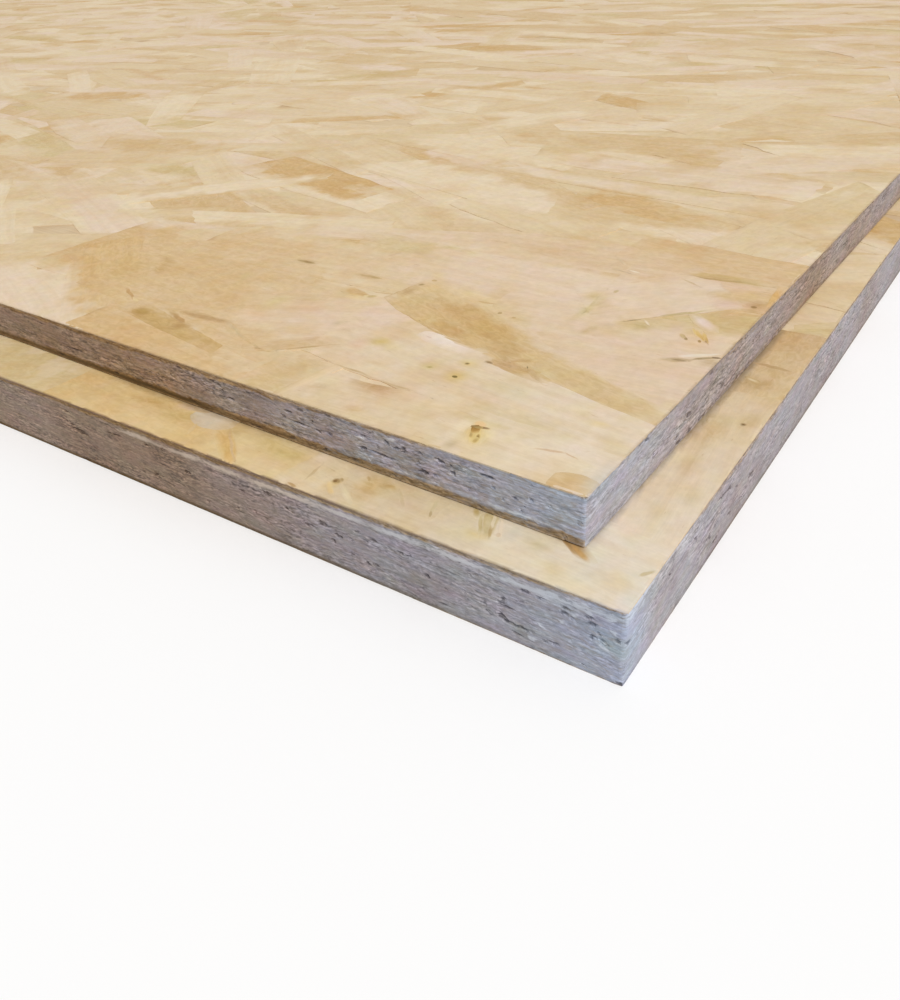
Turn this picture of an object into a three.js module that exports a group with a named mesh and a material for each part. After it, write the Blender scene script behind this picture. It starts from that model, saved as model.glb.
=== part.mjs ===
// A stack of two oriented strand board (OSB) sheets, as laid down by hand: a thick sheet flat on the
// ground, and a thinner one on it, set in from the near corner and slightly askew.
// Both are full-size square-edged sheets with lightly eased arrises.
//
// Frame, in millimetres: X along the sheets' length, Y across their width, Z up. The origin is the
// centre of the lower sheet's underside, and the near corner is at +X, -Y.

import * as THREE from "three";

const SHEET_LENGTH = 2438; // 8 ft
const SHEET_WIDTH = 1219; // 4 ft
const LOWER_THICKNESS = 28.6; // 1 1/8 in, heavy floor sheathing
const UPPER_THICKNESS = 18.3; // 23/32 in, floor and roof sheathing
const ARRIS_EASE = 0.6; // chamfer that handling wears on every sawn arris

const CORNER_INSET_X = 22.6; // from the lower sheet's end in to the upper sheet's near corner
const CORNER_INSET_Y = 19.2; // from the lower sheet's long edge in to the same corner
const UPPER_SKEW_DEG = -1.4; // the upper sheet turned about its near corner, clockwise from above
const SHEET_GAP = 0.3; // the pressed faces are uneven, and hold the sheets this far apart

const osbMaterial = (color) =>
  new THREE.MeshStandardMaterial({ color, roughness: 0.75, metalness: 0 });

// The sheet's plan, drawn smaller by the ease, which the extrusion's chamfer gives back on every side.
// Its near corner is at (0, 0); the sheet runs towards -X and +Y from there.
function sheetPlan() {
  const left = -SHEET_LENGTH + ARRIS_EASE;
  const right = -ARRIS_EASE;
  const front = ARRIS_EASE;
  const back = SHEET_WIDTH - ARRIS_EASE;
  const plan = new THREE.Shape();
  plan.moveTo(left, front);
  plan.lineTo(right, front);
  plan.lineTo(right, back);
  plan.lineTo(left, back);
  plan.closePath();
  return plan;
}

// One sheet, with its underside at z = 0 and its near corner on the Z axis.
function sheetGeometry(thickness) {
  const geometry = new THREE.ExtrudeGeometry(sheetPlan(), {
    depth: thickness - 2 * ARRIS_EASE,
    bevelEnabled: true,
    bevelThickness: ARRIS_EASE,
    bevelSize: ARRIS_EASE,
    bevelSegments: 1,
  });
  geometry.translate(0, 0, ARRIS_EASE);
  return geometry;
}

function lowerSheet() {
  const mesh = new THREE.Mesh(sheetGeometry(LOWER_THICKNESS), osbMaterial(0xd9c295));
  mesh.name = "lower_sheet";
  mesh.position.set(SHEET_LENGTH / 2, -SHEET_WIDTH / 2, 0);
  return mesh;
}

function upperSheet() {
  const mesh = new THREE.Mesh(sheetGeometry(UPPER_THICKNESS), osbMaterial(0xdfc9a0));
  mesh.name = "upper_sheet";
  mesh.position.set(
    SHEET_LENGTH / 2 - CORNER_INSET_X,
    -SHEET_WIDTH / 2 + CORNER_INSET_Y,
    LOWER_THICKNESS + SHEET_GAP,
  );
  mesh.rotation.z = THREE.MathUtils.degToRad(UPPER_SKEW_DEG);
  return mesh;
}

const stack = new THREE.Group();
stack.name = "osb_sheet_stack";
stack.add(lowerSheet(), upperSheet());

export default stack;
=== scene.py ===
import math
import random

import bmesh
import bpy
from mathutils import Matrix, Vector, noise


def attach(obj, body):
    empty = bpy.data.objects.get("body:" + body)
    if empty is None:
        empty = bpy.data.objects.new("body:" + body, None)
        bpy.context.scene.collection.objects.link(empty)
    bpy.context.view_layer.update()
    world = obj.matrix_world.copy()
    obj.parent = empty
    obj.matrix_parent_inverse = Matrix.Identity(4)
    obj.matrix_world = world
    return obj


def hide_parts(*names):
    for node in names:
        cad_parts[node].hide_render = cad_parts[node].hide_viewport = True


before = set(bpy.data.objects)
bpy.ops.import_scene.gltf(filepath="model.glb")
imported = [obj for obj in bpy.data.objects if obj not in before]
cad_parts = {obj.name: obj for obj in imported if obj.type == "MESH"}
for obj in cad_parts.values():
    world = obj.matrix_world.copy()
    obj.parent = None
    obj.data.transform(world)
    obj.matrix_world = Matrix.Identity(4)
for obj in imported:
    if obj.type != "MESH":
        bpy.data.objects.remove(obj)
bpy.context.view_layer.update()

# Two oriented strand board sheets, one lying on the other. Each is a core, whose sawn and sealed edges are
# worn in relief, with the strands of its faces laid on it one by one.
#
# Places on a sheet are given as along, across and height: along runs from the near end down the sheet's
# length, across runs from the front edge to the back, and height is measured up from the sheet's underside.

MM = 0.001

# --- the sheets

SHEET_LENGTH = 2438 * MM
SHEET_WIDTH = 1219 * MM
NEAR_CORNER = Vector((SHEET_LENGTH / 2, -SHEET_WIDTH / 2, 0))
SET_IN_ALONG = 22.6  # how far the upper sheet is set in from the lower one's near end, in millimetres
SET_IN_ACROSS = 19.2  # and from its front
SKEW = 1.4  # degrees that it is turned
SKEW_SLOPE = 0.0244  # and how far its edges run off so, for each millimetre


class Sheet:
    """Where a sheet lies, and how thick it is."""

    def __init__(self, name, thickness, inset=(0, 0), lift=0.0, skew=0.0):
        self.name = name
        self.thickness = thickness
        corner = NEAR_CORNER + Vector((-inset[0], inset[1], lift))
        self.place = Matrix.Translation(corner) @ Matrix.Rotation(skew, 4, "Z")


LOWER = Sheet("lower_sheet", 28.6 * MM)
UPPER = Sheet(
    "upper_sheet", 18.3 * MM, (SET_IN_ALONG * MM, SET_IN_ACROSS * MM), 28.9 * MM, math.radians(-SKEW)
)

STRAND_THICKNESS = 0.55 * MM
STRAND_STEP = 0.012 * MM  # one strand lying over another stands this much higher
RANDOM_STEPS = 22
LAID_STEP = 0.006 * MM  # and so much among the strands that are listed
LAID_STEPS = 30
RANDOM_DEPTH = STRAND_STEP * (RANDOM_STEPS + 1)  # the random strands lie within this
FACE_DEPTH = RANDOM_DEPTH + LAID_STEP * LAID_STEPS  # and all the strands of a face within this
TRAY = 40  # strands are laid this many at a time
SQUARE = 14 * MM  # the side of the squares that a face is kept account of in
LIP = 1.3 * MM  # width of the sawn edge's rim that shows on an underside
RIM = 1.3 * MM  # width of a face's worn rim
FRAY = 0.3 * MM  # a face's outline is frayed this far
ON_RIM = FRAY / MM + 0.01  # so a place is on it when it is less than this from the edge, in millimetres
MELT_START = 0.3  # where a strand begins to melt into the face, from 0 in its middle to 1 at its border

# --- colours


def paint(red, green, blue):
    """A colour as it is seen on a screen, 0 to 255, for a shader."""
    def linear(share):
        return share / 12.92 if share <= 0.04045 else ((share + 0.055) / 1.055) ** 2.4

    return tuple(linear(part / 255) for part in (red, green, blue)) + (1.0,)


CREAM = paint(229, 211, 180)
PINK_CREAM = paint(227, 206, 182)
STRAW = paint(220, 198, 160)
TAN = paint(213, 186, 143)
GOLD = paint(208, 174, 121)
OLIVE = paint(209, 187, 139)
# Painted shade for the strands' sides, where they meet in creases.
STRAND_SIDE_SHADE = paint(128, 92, 55)
WORN_RIM = paint(126, 106, 86)
BROWN_RIM = paint(118, 86, 50)
# Dirt and painted shade over the sealed edges, under cool and under warm light.
GRIME_AND_SHADE = paint(88, 66, 30)
PALE_GRIME_AND_SHADE = paint(90, 80, 50)
# The sealer as painted under cool light, under plain light and under warm light.
COOL_LIT_SEALER = paint(173, 182, 200)
SEALER = paint(168, 160, 164)
WARM_LIT_SEALER = paint(158, 133, 114)
FACE_TONES = (CREAM,) * 3 + (PINK_CREAM,) * 3 + (STRAW,) * 3 + (TAN, TAN, OLIVE, GOLD)


def between(first, second, share):
    """A colour part of the way from the first to the second."""
    return tuple(a + (b - a) * share for a, b in zip(first, second))


def clamped(value):
    """A value kept from 0 to 1."""
    return max(0.0, min(1.0, value))


# --- shader nodes


def node(tree, kind, plugs=None, **settings):
    """A shader node, with its settings made and its inputs set or linked."""
    made = tree.nodes.new("ShaderNode" + kind)
    for name, value in settings.items():
        setattr(made, name, value)
    for name, value in (plugs or {}).items():
        if isinstance(value, bpy.types.NodeSocket):
            tree.links.new(value, made.inputs[name])
        else:
            made.inputs[name].default_value = value
    return made


def figure(tree, operation, *values, clamp=False):
    """The result of one step of arithmetic."""
    return node(tree, "Math", dict(enumerate(values)), operation=operation, use_clamp=clamp).outputs[0]


def times(tree, first, second):
    """Two numbers multiplied."""
    return figure(tree, "MULTIPLY", first, second)


def ease(tree, value, start, end, low=0.0, high=1.0):
    """Low until value reaches start, high from end on, and smooth between."""
    plugs = {"Value": value, "From Min": start, "From Max": end, "To Min": low, "To Max": high}
    return node(tree, "MapRange", plugs, interpolation_type="SMOOTHSTEP").outputs[0]


def mixed(tree, share, first, second, way="MIX"):
    """Two colours mixed."""
    return node(tree, "Mix", {0: share, 6: first, 7: second}, data_type="RGBA", blend_type=way).outputs[2]


def scaled(tree, vector, scale, offset=(0, 0, 0)):
    """Coordinates scaled, then moved."""
    return node(tree, "VectorMath", {0: vector, 1: scale, 2: offset}, operation="MULTIPLY_ADD").outputs[0]


def moved(tree, vector, move):
    """Coordinates moved from place to place."""
    return node(tree, "VectorMath", {0: vector, 1: move}, operation="ADD").outputs[0]


def vector_of(tree, **parts):
    """A vector put together from its parts."""
    return node(tree, "CombineXYZ", parts).outputs[0]


def parts_of(tree, vector):
    """The first two parts of a vector."""
    return node(tree, "SeparateXYZ", {0: vector}).outputs[:2]


def cloudy(tree, vector, scale=1.0, detail=2.0, roughness=0.5, distortion=0.0, output="Fac"):
    """Noise from 0 to 1, or in colours."""
    plugs = {
        "Vector": vector, "Scale": scale, "Detail": detail, "Roughness": roughness, "Distortion": distortion
    }
    return node(tree, "TexNoise", plugs).outputs[output]


def shaded(tree, colour, shade):
    """A colour made lighter or darker."""
    grey = node(tree, "CombineColor", {0: shade, 1: shade, 2: shade}).outputs[0]
    return mixed(tree, 1.0, colour, grey, "MULTIPLY")


def drifting(tree, colour, noise_colour, swing, least):
    """A colour whose hue drifts from place to place."""
    return mixed(tree, 1.0, colour, scaled(tree, noise_colour, swing, least), "MULTIPLY")


def carried(tree, name, output="Vector"):
    """What the piece's mesh carries under a name."""
    return node(tree, "Attribute", attribute_name=name).outputs[output]


def object_place(tree):
    """The place of a point on its piece."""
    return node(tree, "TexCoord").outputs["Object"]


def node_group(name, inputs, outputs):
    """A new shader node group, with its input and output sockets."""
    tree = bpy.data.node_groups.new(name, "ShaderNodeTree")
    for way, sockets in (("INPUT", inputs), ("OUTPUT", outputs)):
        for label, kind in sockets.items():
            tree.interface.new_socket(label, in_out=way, socket_type="NodeSocket" + kind)
    given = tree.nodes.new("NodeGroupInput").outputs
    result = tree.nodes.new("NodeGroupOutput").inputs
    return tree, given, result


def wood_grain_group():
    """Fibres and growth rings along X of the coordinates it is given."""
    tree, given, result = node_group(
        "wood_grain",
        {"Place": "Vector", "Fibre": "Float", "Ring": "Float"}, {"Fibres": "Float", "Rings": "Float"},
    )
    bend = cloudy(tree, scaled(tree, given["Place"], (14, 40, 1)), detail=1.0)
    sway = figure(tree, "MULTIPLY_ADD", bend, 0.008, -0.004)
    bent = moved(tree, given["Place"], vector_of(tree, Y=sway))
    for name, along, across, detail, roughness in (
        ("Fibres", 26.0, given["Fibre"], 3.0, 0.6),
        ("Rings", 5.0, given["Ring"], 2.0, 0.45),
    ):
        lines = scaled(tree, bent, vector_of(tree, X=along, Y=across, Z=1.0))
        tree.links.new(cloudy(tree, lines, detail=detail, roughness=roughness), result[name])
    return tree


def handling_group():
    """Soft stains that a face picks up in the yard, as a colour laid over another."""
    tree, given, result = node_group(
        "handling_stain",
        {"Place": "Vector", "Surface": "Color", "SoftMark": "Color", "Amount": "Float", "Size": "Float"},
        {"Surface": "Color"},
    )
    spread = cloudy(tree, given["Place"], given["Size"], detail=3.0, roughness=0.55)
    share = times(tree, ease(tree, spread, 0.45, 0.75), given["Amount"])
    tree.links.new(mixed(tree, share, given["Surface"], given["SoftMark"], "MULTIPLY"), result["Surface"])
    return tree


def grained(tree, grain, place, fibre, ring):
    """The fibres and rings of a piece of wood, so many to the metre."""
    plugs = {"Place": place, "Fibre": fibre, "Ring": ring}
    lines = node(tree, "Group", plugs, node_tree=grain).outputs
    return lines["Fibres"], lines["Rings"]


def handled(tree, stain, place, surface, colour, amount, size):
    """A surface with stains of handling on it."""
    plugs = {"Place": place, "Surface": surface, "SoftMark": colour, "Amount": amount, "Size": size}
    return node(tree, "Group", plugs, node_tree=stain).outputs["Surface"]


def material(name):
    """A material with nothing in it but its shader."""
    made = bpy.data.materials.new(name)
    made.use_nodes = True
    tree = made.node_tree
    tree.nodes.clear()
    shader = node(tree, "BsdfPrincipled")
    node(tree, "OutputMaterial", {"Surface": shader.outputs[0]})
    return made, tree, shader.inputs


def surfaced(tree, shader, colour, roughness, relief, strength, depth):
    """Plugs a surface's colour, roughness and relief into its shader."""
    tree.links.new(colour, shader["Base Color"])
    tree.links.new(roughness, shader["Roughness"])
    bump = node(tree, "Bump", {"Strength": strength, "Distance": depth, "Height": relief})
    tree.links.new(bump.outputs[0], shader["Normal"])


# --- finishes


def face_strand_material(grain, stain):
    """Pressed wood strands: each has its own colour, and its grain runs along it."""
    made, tree, shader = material("face_strand")
    place, sheet_place = carried(tree, "grain_place"), object_place(tree)

    # It melts into the face's own tone towards its faded borders.
    along, across = [
        figure(tree, "SUBTRACT", 1.0, times(tree, part, part), clamp=True)
        for part in parts_of(tree, carried(tree, "strand_fade"))
    ]
    melt = figure(tree, "SQRT", figure(tree, "SUBTRACT", 1.0, times(tree, along, across)))
    patchy = ease(tree, cloudy(tree, sheet_place, 60.0), 0.38, 0.62, 0.0, MELT_START * 2)
    fade = ease(tree, melt, patchy, 1.0)
    colour = mixed(tree, fade, carried(tree, "wood_colour", "Color"), carried(tree, "ground_colour", "Color"))

    # Growth rings, a hue that drifts, and the figure, which shows most on dark strands.
    fibres, rings = grained(tree, grain, place, 1250.0, 210.0)
    wood = mixed(tree, ease(tree, rings, 0.42, 0.66, 0.0, 0.16), colour, paint(238, 220, 190), "MULTIPLY")
    hue = cloudy(tree, sheet_place, 120.0, 3.0, output="Color")
    wood = drifting(tree, wood, hue, (0.07, 0.09, 0.26), (0.965, 0.955, 0.87))
    curls = cloudy(tree, scaled(tree, place, (150, 300, 1)), detail=3.0, roughness=0.6, distortion=1.4)
    curls = mixed(tree, ease(tree, curls, 0.34, 0.66), (1.06, 1.07, 1.10, 1), (0.93, 0.89, 0.79, 1))
    depth = ease(tree, node(tree, "RGBToBW", {0: colour}).outputs[0], 0.62, 0.44, 0.22, 0.9)
    wood = mixed(tree, depth, wood, curls, "MULTIPLY")

    # Fibres, mottling, stains and fine flecks.
    mottle = cloudy(tree, sheet_place, 260.0, 4.0, 0.7)
    fine_shade = ease(tree, fibres, 0.28, 0.72, 0.98, 1.03)
    wood = shaded(tree, wood, times(tree, fine_shade, ease(tree, mottle, 0.3, 0.7, 0.965, 1.04)))
    wood = handled(tree, stain, sheet_place, wood, paint(244, 230, 202), 0.5, 34.0)
    flecks = ease(tree, cloudy(tree, scaled(tree, place, (140, 900, 1))), 0.70, 0.77, 0.0, 0.3)
    wood = mixed(tree, flecks, wood, paint(196, 158, 108), "MULTIPLY")

    # Painted shade: a broken dark line along the borders that don't fade, where a crease lies between
    # strands.
    reach = [figure(tree, "ABSOLUTE", part) for part in parts_of(tree, carried(tree, "strand_reach"))]
    border = ease(tree, figure(tree, "MAXIMUM", *reach), 0.95, 1.0)
    border = times(tree, border, figure(tree, "SUBTRACT", 1.0, fade))
    broken = ease(tree, cloudy(tree, sheet_place, 45.0, 3.0), 0.5, 0.62, 0.0, 0.35)
    wood = mixed(tree, times(tree, border, broken), wood, paint(200, 172, 134), "MULTIPLY")

    shader["Specular IOR Level"].default_value = 0.3
    relief = figure(tree, "MULTIPLY_ADD", mottle, 0.6, times(tree, fibres, 0.5))
    relief = figure(tree, "SUBTRACT", relief, border)
    surfaced(tree, shader, wood, ease(tree, fibres, 0.3, 0.7, 0.5, 0.64), relief, 0.4, 0.12 * MM)
    return made


def core_face_material(grain, stain):
    """The strands under the laid ones, seen in the gaps between them and on the faces that lie hidden."""
    made, tree, shader = material("core_face")
    place = object_place(tree)
    cells = node(tree, "TexVoronoi", {"Vector": scaled(tree, place, (9, 38, 1)), "Scale": 1.0}).outputs
    shade = node(tree, "SeparateColor", {0: cells["Color"]}).outputs[0]
    fibres, rings = grained(tree, grain, place, 1300.0, 90.0)
    wood = shaded(tree, mixed(tree, shade, TAN, CREAM), ease(tree, fibres, 0.3, 0.7, 0.90, 1.05))
    wood = handled(tree, stain, place, wood, paint(205, 170, 120), 0.6, 14.0)
    surfaced(tree, shader, wood, ease(tree, rings, 0.3, 0.7, 0.55, 0.7), fibres, 0.3, 0.2 * MM)
    return made


def sealed_edge_material(stain):
    """A grey sealer coat over sawn strand ends: thick where it took, rubbed and bare in other places."""
    made, tree, shader = material("sealed_edge")
    place = object_place(tree)
    warm_light, coat, speckle, dirt_and_shade, hollow = [
        carried(tree, name, "Fac") for name in ("warm_light", "coat", "speckle", "dirt_and_shade", "hollow")
    ]

    # Strand ends lie in crumpled, wavy layers.
    crumple = cloudy(tree, place, 190.0, output="Color")
    crumple = scaled(tree, crumple, (3.0 * MM, 3.0 * MM, 1.7 * MM), (-1.5 * MM, -1.5 * MM, -0.85 * MM))
    wave = figure(tree, "MULTIPLY_ADD", cloudy(tree, place, 22.0, 1.0), 5 * MM, -2.5 * MM)
    layered = moved(tree, moved(tree, place, crumple), vector_of(tree, Z=wave))
    ends = cloudy(tree, scaled(tree, layered, (420, 420, 1500)), detail=5.0, roughness=0.68)
    layers = cloudy(tree, scaled(tree, layered, (110, 110, 780)), detail=3.0, roughness=0.6)
    tint = cloudy(tree, scaled(tree, layered, (230, 230, 760), (3, 7, 11)), detail=3.0, roughness=0.65)
    bits = figure(tree, "MULTIPLY_ADD", ends, 0.6, times(tree, layers, 0.4))

    # The sealer is painted blue grey where cool light falls on it and brown where warm light falls, and its
    # tint is never even.
    sealer = mixed(tree, ease(tree, warm_light, -0.1, 0.5), COOL_LIT_SEALER, SEALER)
    sealer = mixed(tree, ease(tree, warm_light, 0.5, 1.0), sealer, WARM_LIT_SEALER)
    hue = cloudy(tree, scaled(tree, layered, (75, 75, 200)), output="Color")
    sealer = drifting(tree, sealer, hue, (0.26, 0.20, 0.30), (0.87, 0.90, 0.85))
    lively = ease(tree, cloudy(tree, scaled(tree, place, (38, 38, 130))), 0.35, 0.65, 0.5, 1.35)
    lively = times(tree, lively, ease(tree, warm_light, 0.0, 1.0, 0.95, 1.6))
    # Painted shade and highlight: the sealer is darker where its relief lies low and lighter where it stands
    # up.
    swing = times(tree, ease(tree, bits, 0.34, 0.66, -0.4, 0.36), lively)
    sealer = shaded(tree, sealer, figure(tree, "ADD", swing, 1.0))
    browned = times(tree, ease(tree, tint, 0.48, 0.66, 0.0, 0.5), speckle)
    sealer = mixed(tree, browned, sealer, paint(152, 134, 108))
    blued = times(tree, ease(tree, tint, 0.46, 0.34, 0.0, 0.4), speckle)
    blued = times(tree, blued, ease(tree, warm_light, 0.9, 0.4))
    sealer = mixed(tree, blued, sealer, paint(146, 160, 184))

    # Bare wood shows where it is thin, tinted by the warm light painted on it. The sealer lies white where it
    # is thick, and that white is also painted on its raised bits as a highlight. Dirt and painted shade lie
    # over both.
    bare = mixed(tree, ease(tree, bits, 0.36, 0.64), paint(124, 100, 68), paint(200, 173, 136))
    bare = mixed(tree, ease(tree, warm_light, 0.4, 1.0), bare, paint(236, 220, 192), "MULTIPLY")
    cover = figure(tree, "ADD", coat, figure(tree, "MULTIPLY_ADD", tint, -0.9, 0.45))
    cover = ease(tree, cover, 0.2, 0.8)
    surface = mixed(tree, cover, bare, sealer)
    thick_and_raised = figure(tree, "MULTIPLY_ADD", bits, 0.9, figure(tree, "SUBTRACT", coat, 0.45))
    smear = mixed(tree, ease(tree, warm_light, 0.0, 0.9), paint(214, 224, 238), paint(232, 212, 192))
    surface = mixed(tree, times(tree, ease(tree, thick_and_raised, 1.0, 1.5), 0.8), surface, smear)
    grime_and_shade = mixed(tree, ease(tree, warm_light, 0.2, 0.7), PALE_GRIME_AND_SHADE, GRIME_AND_SHADE)
    surface = mixed(tree, dirt_and_shade, surface, grime_and_shade)

    # Pits and the gaps between strand ends are painted dark with shade, blue black under the cool light and
    # brown under the warm, with torn borders.
    pit_shade = ease(tree, ends, 0.30, 0.37, 0.45, 0.0)
    torn = figure(tree, "MULTIPLY_ADD", ends, -2.0, 1.0)
    opened = ease(tree, figure(tree, "ADD", hollow, torn), 0.1, 0.95, 0.0, 0.68)
    opened = times(tree, opened, ease(tree, hollow, 0.0, 0.15))
    hollow_shade = mixed(tree, ease(tree, warm_light, 0.0, 0.6), paint(56, 64, 84), paint(74, 62, 60))
    hollow_shade = mixed(tree, ease(tree, warm_light, 0.4, 0.9), hollow_shade, paint(72, 52, 38))
    surface = mixed(tree, figure(tree, "MAXIMUM", pit_shade, opened), surface, hollow_shade)
    surface = handled(tree, stain, place, surface, paint(222, 212, 204), 0.7, 30.0)

    shader["Specular IOR Level"].default_value = 0.35
    surfaced(tree, shader, surface, ease(tree, cover, 0.0, 1.0, 0.8, 0.55), bits, 0.6, 0.3 * MM)
    return made


# --- sawn edges

CORE_ROW = 0.42 * MM  # height of a row of the core's edge
FINE_STEP = 0.65 * MM  # and the width of its faces by the near corner
COARSE_STEP = 12 * MM  # and far from it
FAR_STEP = 1.2 * COARSE_STEP  # and on the back and the far end
FINE_FRONT, FINE_END = 250 * MM, 175 * MM  # how far from the near corner the narrow faces reach
ON_SIDE = 0.001  # a place nearer a side than this, in millimetres, is on it

# The wear of the edges: lengths in millimetres, shares and chances from 0 to 1.
CORNER_RADIUS = 1.5  # of the near corner, worn round
LAYER = 0.95  # from one layer of strand ends to the next
SHORTEST_END, LONGER_ENDS = 4, 17  # a strand end's length, and how much more it may be
SET_BACK = 0.06  # how deep a sawn edge is on the whole
JUT, GROOVE, GRAIN, SWELL = 0.20, 0.08, 0.09, 0.07  # what strand ends, layers, fibres and the board add to it
GAP_DEPTH, SMEAR_HEIGHT = 0.7, 0.15  # how far a gap goes in, and a smear of sealer stands out
GAP_PULL, GAP_TEAR, SMEAR_PULL, SMEAR_TEAR = 1.7, 0.9, 2, 0.6  # how far their borders wander
ARRIS_DEPTH, ARRIS_WIDTH = 0.08, 1.2  # how the arrises are worn
BARE_FADE = 1.5  # from bare wood by an arris to sealer
HAND_WORN = 240  # so much of an edge has the gaps that are given for it
FAR_GAP_CHANCE = 0.03  # how often a strand end is open beyond that
END_SMOOTHNESS = 0.5  # the near end is cut smoother than the rest

# Waves over an edge: their length and height in millimetres, and what sets one side's apart from the next's.
LONG_SWAY, SHORT_SWAY = (42, 10, 9.7), (8, 3.5, 4.1)
GRAIN_WAVE, SWELL_WAVE = (1.7, 0.8, 5.1), (15, 5, 2.3)
TEAR, PULL = (1.9, 0.9, 3.3), (1.6, 1.4, 8.1)

FRONT, FAR_END, BACK, NEAR_END = range(4)
INWARD = [Vector(way) for way in ((0, 1, 0), (1, 0, 0), (0, -1, 0), (-1, 0, 0))]  # the way in from each


class Spot:
    """A long, rounded place on an edge or a face: its middle, its size, its tilt, and how deep it is."""

    def __init__(self, run, height, length, width, tilt=0.0, depth=1.0):
        self.run, self.height, self.depth = run, height, depth
        self.half_length, self.half_width = length / 2, width / 2
        self.cosine, self.sine = math.cos(math.radians(tilt)), math.sin(math.radians(tilt))

    def share(self, run, height, soft=0.5):
        """1 in the middle of the place, falling to 0 at its border."""
        run, height = run - self.run, height - self.height
        if max(abs(run), abs(height)) > self.half_length + self.half_width:
            return 0.0
        along = (run * self.cosine + height * self.sine) / self.half_length
        across = (height * self.cosine - run * self.sine) / self.half_width
        return clamped((1 - math.hypot(along, across)) / soft)

    def strength(self, run, height, soft):
        """How deep the place is at one point of it."""
        return self.depth * self.share(run, height, soft)


def spots(*rows):
    """A list of spots, one from each row."""
    return [Spot(*row) for row in rows]


def along_points(points, run):
    """A value read off a line drawn through points of run and value."""
    for (start, low), (end, high) in zip(points, points[1:]):
        if run <= end:
            return low + (high - low) * max(0.0, run - start) / (end - start)
    return points[-1][1]


class Edge:
    """How one side of a sheet is sealed and worn, and what light and shade are painted on it, in millimetres.

    What changes along the side is given as points of run and value.
    """

    bare_top = bare_bottom = ((0, 0.7),)  # how wide the sealer has come off along the arrises
    worn_top = (0.56, 0.16)  # how bare the wood is there at most, where cool light is painted, and how much more where warm light is
    worn_bottom = (0.6, 0.35)
    thin = ((0, 0.0),)  # how thin the sealer is elsewhere
    warm_light = ((0, 0.6),)  # how far its colour is painted from cool bluish light towards warm brown light
    speckle = ((0, 0.6),)  # how much its tint varies
    dirt_and_shade = ((0, 0.05),)  # how much darker it is made, by dirt and painted shade
    sink = 0.0  # how much painted shade darkens it further towards the underside
    foot, foot_start, foot_height = ((0, 0.2),), 0.0, 2.5  # and in a band just above it, by painted contact shade and dirt
    brow = ((0, 0.1),)  # and along the top
    rim = ((0, 0.4),)  # how much of all this shows on the face's own rim
    gaps = ()  # openings between strand ends
    smears = ()  # thick sealer
    gap_chance = 0.04  # how often a strand end beyond these is open

    def __init__(self, **own):
        for name, value in own.items():
            setattr(self, name, value)


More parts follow.
